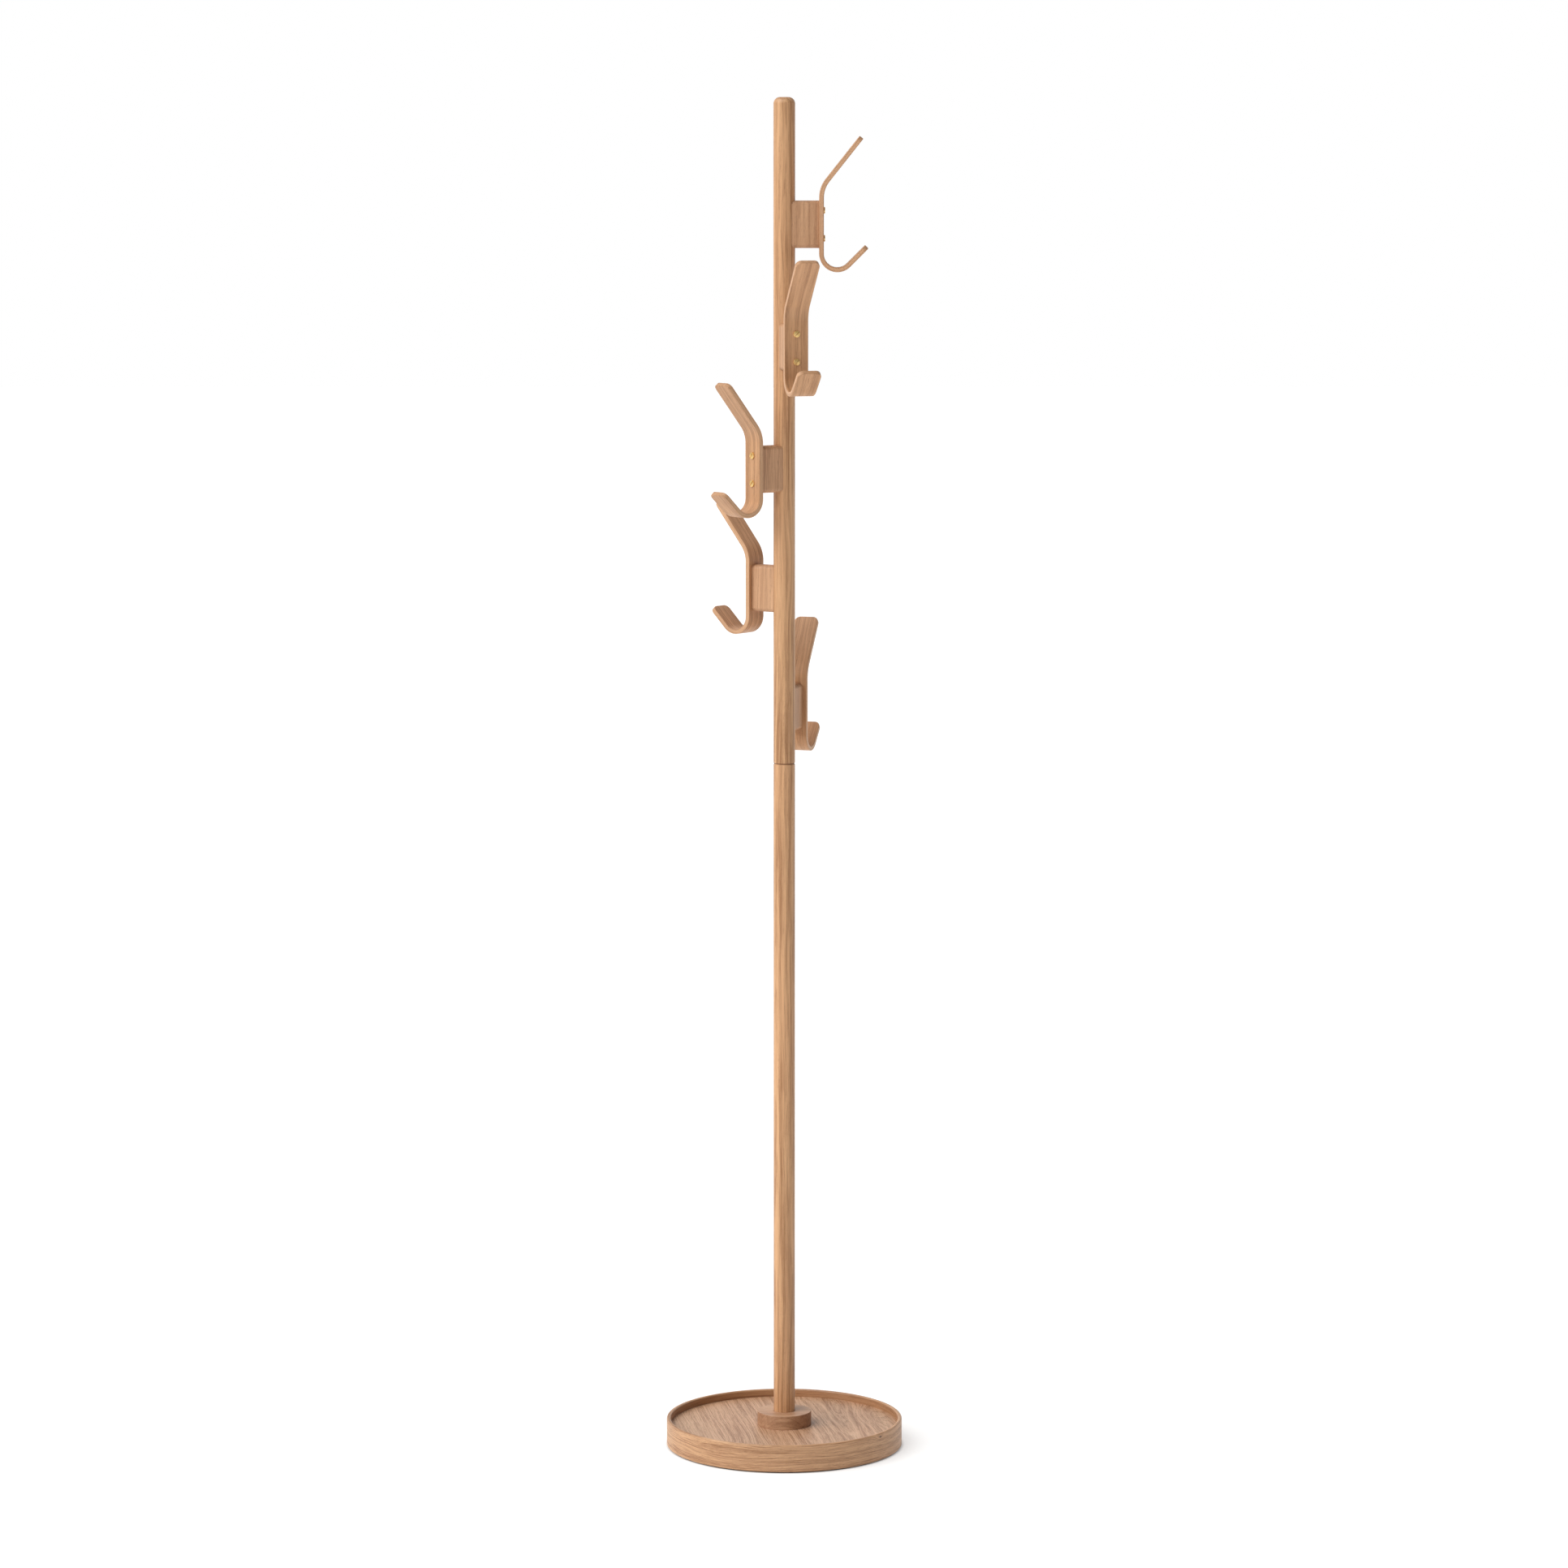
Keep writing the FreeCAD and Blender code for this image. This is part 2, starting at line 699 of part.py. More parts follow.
def make_tray_rim():
    """The bent band around the base."""
    body = new_body("tray_rim")
    section = sketch_on(body, "XZ_Plane", "tray_rim_section")
    draw_rectangle(
        section,
        "dims.base_diameter / 2 - dims.rim_thickness",
        "dims.base_diameter / 2",
        "dims.pad_thickness",
        "dims.rim_top_height",
    )
    turned = body.newObject("PartDesign::Revolution", "tray_rim_turned")
    turned.Profile = section
    turned.ReferenceAxis = (section, ["V_Axis"])
    turned.Angle = 360
    section.Visibility = False
    doc.recompute()
    for name, height in (("top", "dims.rim_top_height"), ("bottom", "dims.pad_thickness")):
        edges = edges_of(
            body,
            lambda edge: isinstance(edge.Curve, Part.Circle)
            and abs(edge.Curve.Center.z - value(height)) < 0.001,
        )
        dress(body, "Fillet", f"tray_rim_{name}", edges, f"dims.rim_{name}_rounding")
    return finished(body)


def drill_around(body, name, diameter, radius, count, first_angle, depth=None):
    """Drill a ring of holes up from the body's XY plane."""
    turn = Placement(Vector(0, 0, 0), Rotation(Vector(0, 0, 1), first_angle))
    sketch = sketch_on(body, "XY_Plane", name, turn)
    draw_circle(sketch, diameter, across=radius)
    first = pocket(body, sketch, depth, backwards=True)
    repeat_around(body, first, count)


def countersink(body, name, hole_diameter, head_diameter, height):
    """Open out every hole of that diameter at a height of the body, to seat a countersunk head."""
    rings = edges_of(body, lambda edge: is_ring(edge, value(f"({hole_diameter}) / 2"), height))
    dress(body, "Chamfer", name, rings, f"({head_diameter} + 2 * dims.clearance - ({hole_diameter})) / 2")


COLLAR_SCREW_HOLE = "dims.collar_screw_diameter + dims.screw_hole_clearance"
COVER_SCREW_HOLE = "dims.cover_screw_diameter + dims.screw_hole_clearance"
COVER_SCREW_TURN = 30
COLLAR_SCREW_TURN = 30
FOOT_PAD_TURN = 45


def make_tray_floor():
    """Veneered board inside the rim."""
    body = new_body("tray_floor")
    section = sketch_on(body, "XY_Plane", "tray_floor_section")
    draw_circle(section, INSIDE_RIM)
    pad(body, section, "dims.board_thickness")
    bore(body, "tray_floor_bolt_hole", "dims.thread_diameter + 1", "dims.board_thickness + 1")
    drill_around(
        body,
        "tray_floor_collar_holes",
        COLLAR_SCREW_HOLE,
        "dims.collar_screw_circle_radius",
        COLLAR_SCREW_COUNT,
        COLLAR_SCREW_TURN,
    )
    countersink(
        body,
        "tray_floor_countersinks",
        COLLAR_SCREW_HOLE,
        "dims.collar_screw_head_diameter",
        0,
    )
    drill_around(
        body,
        "tray_floor_cover_holes",
        COVER_SCREW_HOLE,
        "dims.cover_screw_circle_radius",
        COVER_SCREW_COUNT,
        COVER_SCREW_TURN,
        "dims.cover_screw_length - dims.cover_thickness - dims.ballast_thickness + 1",
    )
    body.Placement = Placement(Vector(0, 0, value(BOARD_BOTTOM)), Rotation())
    return finished(body)


def make_collar():
    """Turned ring around the foot of the pole."""
    body = new_body("collar")
    section = sketch_on(body, "XY_Plane", "collar_section")
    draw_circle(section, "dims.collar_diameter")
    draw_circle(section, "dims.pole_diameter + 2 * dims.clearance")
    pad(body, section, "dims.collar_height")
    outer_edges = edges_of(body, lambda edge: is_ring(edge, value("dims.collar_diameter / 2")))
    dress(body, "Fillet", "collar_rounding", outer_edges, "dims.collar_edge_rounding")
    drill_around(
        body,
        "collar_holes",
        COLLAR_SCREW_HOLE,
        "dims.collar_screw_circle_radius",
        COLLAR_SCREW_COUNT,
        COLLAR_SCREW_TURN,
        "dims.collar_screw_length - dims.board_thickness + 1",
    )
    body.Placement = Placement(Vector(0, 0, value(BOARD_TOP)), Rotation())
    return finished(body)


def make_ballast_plate():
    """Steel disc between board and cover that keeps the rack upright, open in the middle for the bolt."""
    body = new_body("ballast_plate")
    section = sketch_on(body, "XY_Plane", "ballast_plate_section")
    draw_circle(section, INSIDE_RIM)
    draw_circle(section, "dims.ballast_opening_diameter")
    pad(body, section, "dims.ballast_thickness")
    drill_around(
        body,
        "ballast_plate_holes",
        COVER_SCREW_HOLE,
        "dims.cover_screw_circle_radius",
        COVER_SCREW_COUNT,
        COVER_SCREW_TURN,
    )
    body.Placement = Placement(Vector(0, 0, value(COVER_TOP)), Rotation())
    return finished(body)


def make_bottom_cover():
    """Thin sheet that closes the base from below."""
    body = new_body("bottom_cover")
    section = sketch_on(body, "XY_Plane", "bottom_cover_section")
    draw_circle(section, INSIDE_RIM)
    pad(body, section, "dims.cover_thickness")
    drill_around(
        body,
        "bottom_cover_holes",
        COVER_SCREW_HOLE,
        "dims.cover_screw_circle_radius",
        COVER_SCREW_COUNT,
        COVER_SCREW_TURN,
    )
    countersink(body, "bottom_cover_countersinks", COVER_SCREW_HOLE, "dims.cover_screw_head_diameter", 0)
    body.Placement = Placement(Vector(0, 0, value("dims.pad_thickness")), Rotation())
    return finished(body)


def make_base_screws():
    """The countersunk screws of the collar and of the bottom cover, all driven from below."""
    collar_places = around(
        COLLAR_SCREW_COUNT, "dims.collar_screw_circle_radius", BOARD_BOTTOM, COLLAR_SCREW_TURN
    )
    cover_places = around(
        COVER_SCREW_COUNT, "dims.cover_screw_circle_radius", "dims.pad_thickness", COVER_SCREW_TURN
    )
    for label, sheet, places in (
        ("collar_screws", "dims.collar_screw", collar_places),
        ("cover_screws", "dims.cover_screw", cover_places),
    ):
        group(
            label,
            [
                make_countersunk_screw(f"{label}_{number}", sheet, place)
                for number, place in enumerate(places, start=1)
            ],
        )


def make_foot_pads():
    """Thin felt pads that the rack stands on."""
    sizes = {"Radius": "dims.pad_diameter / 2", "Height": "dims.pad_thickness"}
    places = around(FOOT_PAD_COUNT, "dims.pad_circle_radius", "0", FOOT_PAD_TURN)
    pads = [
        primitive("Cylinder", f"foot_pad_{number}", place, **sizes)
        for number, place in enumerate(places, start=1)
    ]
    return group("foot_pads", pads)


# ---------------------------------------------------------------- the whole rack


def build():
    fill_sheet()
    for index in range(HOOK_COUNT):
        make_hook(index)
        make_spacer_block(index)
        make_hook_screws(index)
    make_pole_upper()
    make_pole_lower()
    make_pole_stud()
    make_insert("upper_insert", "dims.pole_seam_height")
    make_insert("lower_insert", "dims.pole_seam_height - dims.insert_length")
    make_insert("base_insert", POLE_FOOT)
    make_base_washer()
    make_base_bolt()
    make_tray_rim()
    make_tray_floor()
    make_collar()
    make_ballast_plate()
    make_bottom_cover()
    make_base_screws()
    make_foot_pads()
    doc.recompute()


def check():
    """Stop if any object failed to compute, or any node's shape is empty or broken."""
    for thing in doc.Objects:
        if "Invalid" in thing.State or "Error" in thing.State:
            raise RuntimeError(f"{thing.Label} did not compute: {thing.State}")
    for node in nodes:
        if node.Shape.isNull() or not node.Shape.isValid() or not node.Shape.Solids:
            raise RuntimeError(f"{node.Label} has no valid solid")


def write():
    os.makedirs("parts", exist_ok=True)
    for node in nodes:
        node.Shape.exportStep(f"parts/{node.Label}.step")
        box = node.Shape.BoundBox
        print(f"{node.Label}: {len(node.Shape.Solids)} solid(s), z {box.ZMin:.2f} to {box.ZMax:.2f}")


build()
check()
write()
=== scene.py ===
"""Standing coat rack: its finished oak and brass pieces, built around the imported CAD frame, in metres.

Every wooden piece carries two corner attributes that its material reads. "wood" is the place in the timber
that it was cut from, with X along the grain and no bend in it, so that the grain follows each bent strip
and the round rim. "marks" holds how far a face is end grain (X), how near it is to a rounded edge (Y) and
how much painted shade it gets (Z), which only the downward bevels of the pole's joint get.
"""

import math

import bpy
import numpy as np
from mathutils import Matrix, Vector


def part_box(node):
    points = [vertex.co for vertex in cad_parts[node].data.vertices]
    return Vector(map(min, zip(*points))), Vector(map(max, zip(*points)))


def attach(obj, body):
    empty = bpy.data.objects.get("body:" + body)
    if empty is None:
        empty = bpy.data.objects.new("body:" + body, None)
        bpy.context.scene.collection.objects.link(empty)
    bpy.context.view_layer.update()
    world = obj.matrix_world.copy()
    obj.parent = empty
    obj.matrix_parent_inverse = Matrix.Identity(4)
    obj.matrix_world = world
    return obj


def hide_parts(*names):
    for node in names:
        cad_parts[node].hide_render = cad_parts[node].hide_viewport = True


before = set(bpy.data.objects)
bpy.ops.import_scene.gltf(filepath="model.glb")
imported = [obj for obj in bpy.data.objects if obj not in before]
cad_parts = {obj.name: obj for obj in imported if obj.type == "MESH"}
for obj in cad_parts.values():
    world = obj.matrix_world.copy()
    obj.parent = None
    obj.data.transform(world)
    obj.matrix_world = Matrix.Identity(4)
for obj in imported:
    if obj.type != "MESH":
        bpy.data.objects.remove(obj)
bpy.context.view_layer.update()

MM = 0.001
BODY = "root"
HOOK_COUNT = 5
HOOK_TURN = -math.radians(72)

# The bent strip, as in the CAD model.
STRIP_STANDOFF = 45 * MM
STRIP_THICKNESS = 6 * MM
STRIP_WIDTH = 32 * MM
STRIP_TIP_ROUNDING = 7.5 * MM
STRIP_EDGE_ROUNDING = 0.8 * MM
UPPER_BEND_RADIUS = 33.5 * MM
UPPER_BEND_RISE = 34 * MM
UPPER_ARM_LEAN = math.radians(38.5)
UPPER_ARM_LENGTH = 70 * MM
LOWER_BEND_RADIUS = 17.5 * MM
LOWER_BEND_DROP = 37.8 * MM
LOWER_BEND_TURN = math.radians(135)
LOWER_ARM_LENGTH = 33.3 * MM
PLY_COUNT = 5

# The block behind it and its two screws.
BLOCK_WIDTH = 21 * MM
BLOCK_HEIGHT = 61 * MM
BLOCK_ROUNDING = 5.5 * MM
SCREW_SPACING = 36 * MM
SCREW_LENGTH = 48 * MM
SCREW_RADIUS = 2.1 * MM
SCREW_HEAD_RADIUS = 4.3 * MM
SCREW_HEAD_HEIGHT = 1.8 * MM
SCREW_SLOT_WIDTH = 1.1 * MM
SCREW_SLOT_DEPTH = 1 * MM

# The bevel at the ends of the pole's halves, and the gap that glue fills between a piece and the pole.
POLE_BEVEL = 1.1 * MM
GLUE_GAP = 0.1 * MM

# Where the band of the rim is cut from its wood, and the small knot near the top of its outer face. The
# knot's place is in millimetres, as the oak materials are.
RIM_RADIUS = 156 * MM
RIM_THICKNESS = 5.4 * MM
RIM_WOOD_START = (3.1, 0.5, 0.0)
RIM_KNOT_TURN = math.radians(324)
RIM_KNOT_HEIGHT = 32.5 * MM
RIM_KNOT = (
    (RIM_WOOD_START[0] + RIM_KNOT_TURN * RIM_RADIUS) / MM,
    (RIM_WOOD_START[1] + RIM_KNOT_HEIGHT) / MM,
    RIM_WOOD_START[2] / MM,
)

# The way that the grain of the tray's floor runs, in the row frame.
VENEER_WAY = (0.145, -0.989)


# ---------------------------------------------------------------- surfaces


class Shell:
    """A closed surface, collected as grids of quads that share the points where they meet."""

    def __init__(self):
        self.corners = {"points": [], "normals": [], "wood": [], "marks": []}

    def grid(self, points, normals, wood, marks):
        """Add a grid: each argument is rows by columns by 3, or broadcasts to that."""
        points = np.asarray(points, float)
        for key, values in zip(self.corners, (points, normals, wood, marks)):
            values = np.broadcast_to(np.asarray(values, float), points.shape)
            around = (values[:-1, :-1], values[1:, :-1], values[1:, 1:], values[:-1, 1:])
            self.corners[key].append(np.stack(around, axis=2).reshape(-1, 4, 3))

    def to_object(self, name):
        """Weld the grids into one mesh object, facing outward, with its own normals and attributes."""
        data = {key: np.concatenate(parts) for key, parts in self.corners.items()}
        flat = np.round(data["points"].reshape(-1, 3) / (0.001 * MM)).astype(np.int64)
        _, first, owner = np.unique(flat, axis=0, return_index=True, return_inverse=True)
        places = data["points"].reshape(-1, 3)[first]
        owner = owner.reshape(-1, 4)
        faces, order = [], []
        for number, quad in enumerate(owner):
            keep = [k for k in range(4) if quad[k] != quad[k - 1]]
            if len(keep) < 3:
                continue
            centre = data["points"][number]
            facing = np.cross(centre[2] - centre[0], centre[3] - centre[1])
            if facing @ data["normals"][number].sum(axis=0) < 0:
                keep.reverse()
            faces.append([int(quad[k]) for k in keep])
            order.extend(number * 4 + k for k in keep)
        mesh = bpy.data.meshes.new(name)
        mesh.from_pydata([tuple(place) for place in places], [], faces)
        mesh.polygons.foreach_set("use_smooth", [True] * len(mesh.polygons))
        for key in ("wood", "marks"):
            layer = mesh.attributes.new(key, "FLOAT_VECTOR", "CORNER")
            layer.data.foreach_set("vector", data[key].reshape(-1, 3)[order].astype(np.float32).ravel())
        mesh.normals_split_custom_set([tuple(n) for n in data["normals"].reshape(-1, 3)[order]])
        thing = bpy.data.objects.new(name, mesh)
        bpy.context.scene.collection.objects.link(thing)
        return thing


def finish_piece(thing, material, slot, *nodes):
    """Give a piece its material, and tie it to the frame in place of its CAD nodes."""
    thing.data.materials.clear()
    thing.data.materials.append(material)
    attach(thing, BODY)
    if nodes:
        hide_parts(*nodes)
    return thing


def rounded_outline(half_length, half_width, corner, spacing):
    """Half of a rounded rectangle's outline, from end to end: places and normals, length by width."""
    quarter = np.linspace(0, math.pi / 2, 9)
    reach = half_length - corner
    straight = np.linspace(-reach, reach, math.ceil(2 * reach / spacing) + 1)[1:-1]
    near_normal = np.stack([-np.cos(quarter), np.sin(quarter)], 1)
    near = np.array([-reach, half_width - corner]) + corner * near_normal
    side = np.stack([straight, np.full(len(straight), half_width)], 1)
    side_normal = np.tile([0.0, 1.0], (len(straight), 1))
    places = np.concatenate([near, side, near[::-1] * [-1, 1]])
    normals = np.concatenate([near_normal, side_normal, near_normal[::-1] * [-1, 1]])
    return places, normals


def closed_ring(half):
    """The whole outline from one half of it: the half, its mirror image back, and the first point again."""
    mirrored = half[::-1] * [1, -1]
    return np.concatenate([half, mirrored, half[:1]])


# ---------------------------------------------------------------- hooks


def strip_path(stations):
    """Place (r and z) and heading of the bent strip's middle at each arc length from its upper tip."""
    half = STRIP_THICKNESS / 2
    runs = (
        (UPPER_ARM_LENGTH, 0.0),
        ((UPPER_BEND_RADIUS + half) * UPPER_ARM_LEAN, UPPER_ARM_LEAN),
        (UPPER_BEND_RISE + LOWER_BEND_DROP, 0.0),
        ((LOWER_BEND_RADIUS + half) * LOWER_BEND_TURN, LOWER_BEND_TURN),
        (LOWER_ARM_LENGTH, 0.0),
    )
    upper_way = np.array([math.sin(UPPER_ARM_LEAN), math.cos(UPPER_ARM_LEAN)])
    across = np.array([upper_way[1], -upper_way[0]])
    bend_centre = np.array([STRIP_STANDOFF + STRIP_THICKNESS + UPPER_BEND_RADIUS, UPPER_BEND_RISE])
    place = bend_centre - across * (UPPER_BEND_RADIUS + half) + upper_way * UPPER_ARM_LENGTH
    heading = -math.pi / 2 - UPPER_ARM_LEAN
    places = np.zeros((len(stations), 2))
    headings = np.zeros(len(stations))
    start = 0.0
    for length, turn in runs:
        inside = stations >= start - 1e-9
        way = stations[inside] - start
        if turn:
            radius = length / turn
            angle = heading + way / radius
            places[inside, 0] = place[0] + radius * (np.sin(angle) - math.sin(heading))
            places[inside, 1] = place[1] - radius * (np.cos(angle) - math.cos(heading))
            step = radius * np.array(
                [math.sin(heading + turn) - math.sin(heading), math.cos(heading) - math.cos(heading + turn)]
            )
        else:
            angle = np.full(len(way), heading)
            places[inside] = place + way[:, None] * [math.cos(heading), math.sin(heading)]
            step = length * np.array([math.cos(heading), math.sin(heading)])
        headings[inside] = angle
        place = place + step
        heading += turn
        start += length
    return places, headings


def strip_length():
    half = STRIP_THICKNESS / 2
    bends = (UPPER_BEND_RADIUS + half) * UPPER_ARM_LEAN + (LOWER_BEND_RADIUS + half) * LOWER_BEND_TURN
    return UPPER_ARM_LENGTH + UPPER_BEND_RISE + LOWER_BEND_DROP + LOWER_ARM_LENGTH + bends


def hook_frame(index):
    """A hook's height, from its block, and its outward and sideways directions, from its turn."""
    low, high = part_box(f"spacer_block_{index + 1}")
    turn = index * HOOK_TURN
    outward = np.array([math.cos(turn), math.sin(turn), 0.0])
    sideways = np.array([-math.sin(turn), math.cos(turn), 0.0])
    return (low.z + high.z) / 2, outward, sideways


def from_hook(index, along_out, along_side, along_up):
    """Points or directions given by their parts along a hook's own directions, in the row frame."""
    _, outward, sideways = hook_frame(index)
    parts = np.stack(np.broadcast_arrays(along_out, along_side, along_up), -1)
    return parts @ np.stack([outward, sideways, [0, 0, 1.0]])


def make_hook(index, material):
    """Bend a board with rounded tips and eased edges along the strip's path."""
    length = strip_length()
    height = hook_frame(index)[0]
    half_thickness = STRIP_THICKNESS / 2
    half, half_normal = rounded_outline(length / 2, STRIP_WIDTH / 2, STRIP_TIP_ROUNDING, 2.5 * MM)
    cut_from = np.array([0.7 * index, 0.05 * index, 0.0])

    def bent(flat, depth, normal, lift):
        """Bend flat points at a depth, with normals in the flat of the board and out of it."""
        places, headings = strip_path(np.clip(flat[..., 0].ravel() + length / 2, 0, length))
        places = places.reshape(flat.shape[:-1] + (2,))
        headings = headings.reshape(flat.shape[:-1])
        out_r, out_z = -np.sin(headings), np.cos(headings)
        along_r, along_z = np.cos(headings), np.sin(headings)
        points = from_hook(
            index,
            places[..., 0] + depth * out_r,
            flat[..., 1],
            height + places[..., 1] + depth * out_z,
        )
        normals = from_hook(
            index,
            normal[..., 0] * along_r + lift * out_r,
            normal[..., 1],
            normal[..., 0] * along_z + lift * out_z,
        )
        wood = np.stack(np.broadcast_arrays(flat[..., 0], flat[..., 1], depth), -1) + cut_from
        return points, normals, wood

    shell = Shell()
    ring, ring_normal = closed_ring(half), closed_ring(half_normal)
    steps = np.linspace(0, math.pi / 2, 5)
    inset = STRIP_EDGE_ROUNDING * (1 - np.sin(steps))
    depth = half_thickness - STRIP_EDGE_ROUNDING * (1 - np.cos(steps))
    inset = np.concatenate([inset, inset[::-1]])[:, None]
    depth = np.concatenate([depth, -depth[::-1]])[:, None]
    sideness = np.concatenate([np.sin(steps), np.sin(steps)[::-1]])[:, None]
    lift = np.concatenate([np.cos(steps), -np.cos(steps)[::-1]])[:, None]
    flat = ring[None] - ring_normal[None] * inset[..., None]
    normal = ring_normal[None] * sideness[..., None]
    end_grain = np.abs(normal[..., 0])
    wear = 1 - np.abs(2 * sideness - 1) * np.ones(ring.shape[0])
    marks = np.stack([end_grain, wear, np.zeros_like(wear)], -1)
    shell.grid(*bent(flat, depth, normal, lift), marks)
    for side in (1, -1):
        rungs = half - half_normal * STRIP_EDGE_ROUNDING
        across = np.linspace(1, -1, 5)
        flat = np.stack([np.repeat(rungs[:, :1], 5, 1), rungs[:, 1:] * across], -1)
        shell.grid(*bent(flat, side * half_thickness, np.zeros_like(flat), side), (0, 0, 0))
    thing = shell.to_object(f"hook_{index + 1}_oak_strip")
    return finish_piece(thing, material, "oak_laminated", f"hook_{index + 1}")


def make_block(index, material):
    """Shape one block, coped to the pole, with its long edges rounded and its outer end slightly eased."""
    height = hook_frame(index)[0]
    pole_low, pole_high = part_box("pole_upper")
    cope = (pole_high.x - pole_low.x) / 2 + GLUE_GAP
    half, half_normal = rounded_outline(BLOCK_HEIGHT / 2, BLOCK_WIDTH / 2, BLOCK_ROUNDING, 6 * MM)
    ring, ring_normal = closed_ring(half), closed_ring(half_normal)
    ease = 0.4 * MM
    steps = np.linspace(0, math.pi / 2, 4)
    cut_from = np.array([0.9 + 0.21 * index, 0.4, 0.07 * index])

    def placed(out, across, up, normals, marks):
        out, across, up = np.broadcast_arrays(out, across, up)
        points = from_hook(index, out, across, height + up)
        normals = from_hook(index, *np.moveaxis(np.broadcast_to(normals, points.shape), -1, 0))
        return points, normals, np.stack([up, out, across], -1) + cut_from, marks

    shell = Shell()
    start = np.sqrt(cope**2 - ring[:, 1] ** 2)
    rows = np.linspace(0, 1, 6)[:, None]
    out = start + (STRIP_STANDOFF - ease - start) * rows
    side_normal = np.stack([np.zeros(len(ring)), ring_normal[:, 1], ring_normal[:, 0]], -1)
    side_marks = np.stack([np.abs(ring_normal[:, 0]), np.zeros(len(ring)), np.zeros(len(ring))], -1)
    shell.grid(*placed(out, ring[:, 1], ring[:, 0], side_normal, side_marks))
    inset = (ease * (1 - np.cos(steps)))[:, None]
    eased = ring[None] - ring_normal[None] * inset[..., None]
    out = (STRIP_STANDOFF - ease + ease * np.sin(steps))[:, None]
    tilt = steps[:, None, None]
    normals = side_normal[None] * np.cos(tilt) + np.array([1.0, 0, 0]) * np.sin(tilt)
    shell.grid(*placed(out, eased[..., 1], eased[..., 0], normals, (0, 0.6, 0)))
    rungs = half - half_normal * ease
    across = np.linspace(1, -1, 13)
    shell.grid(*placed(STRIP_STANDOFF, rungs[:, 1:] * across, rungs[:, :1], (1, 0, 0), (0, 0, 0)))
    wide = half[:, 1:] * across
    shell.grid(*placed(np.sqrt(cope**2 - wide**2), wide, half[:, :1], (-1, 0, 0), (0, 0, 0)))
    thing = shell.to_object(f"spacer_block_{index + 1}_oak")
    return finish_piece(thing, material, "oak_block", f"spacer_block_{index + 1}")


def ring_points(radius, height, angles):
    """Points or directions around the Z axis."""
    parts = np.broadcast_arrays(radius * np.cos(angles), radius * np.sin(angles), height)
    return np.stack(parts, -1)


def turned_mesh(name, profile, segments):
    """A closed turned surface about Z. Its profile of radius and height starts and ends on the axis."""
    shell = Shell()
    angles = np.linspace(0, 2 * math.pi, segments + 1)
    radius, height = np.array(profile, float).T
    ways = np.diff(np.array(profile, float), axis=0)
    for start, way in enumerate(ways):
        normal = np.array([way[1], -way[0]]) / np.hypot(*way)
        pair = slice(start, start + 2)
        points = ring_points(radius[pair, None], height[pair, None], angles)
        normals = ring_points(normal[0], normal[1], angles)
        shell.grid(points, normals, points, (0, 0, 0))
    return shell.to_object(name)


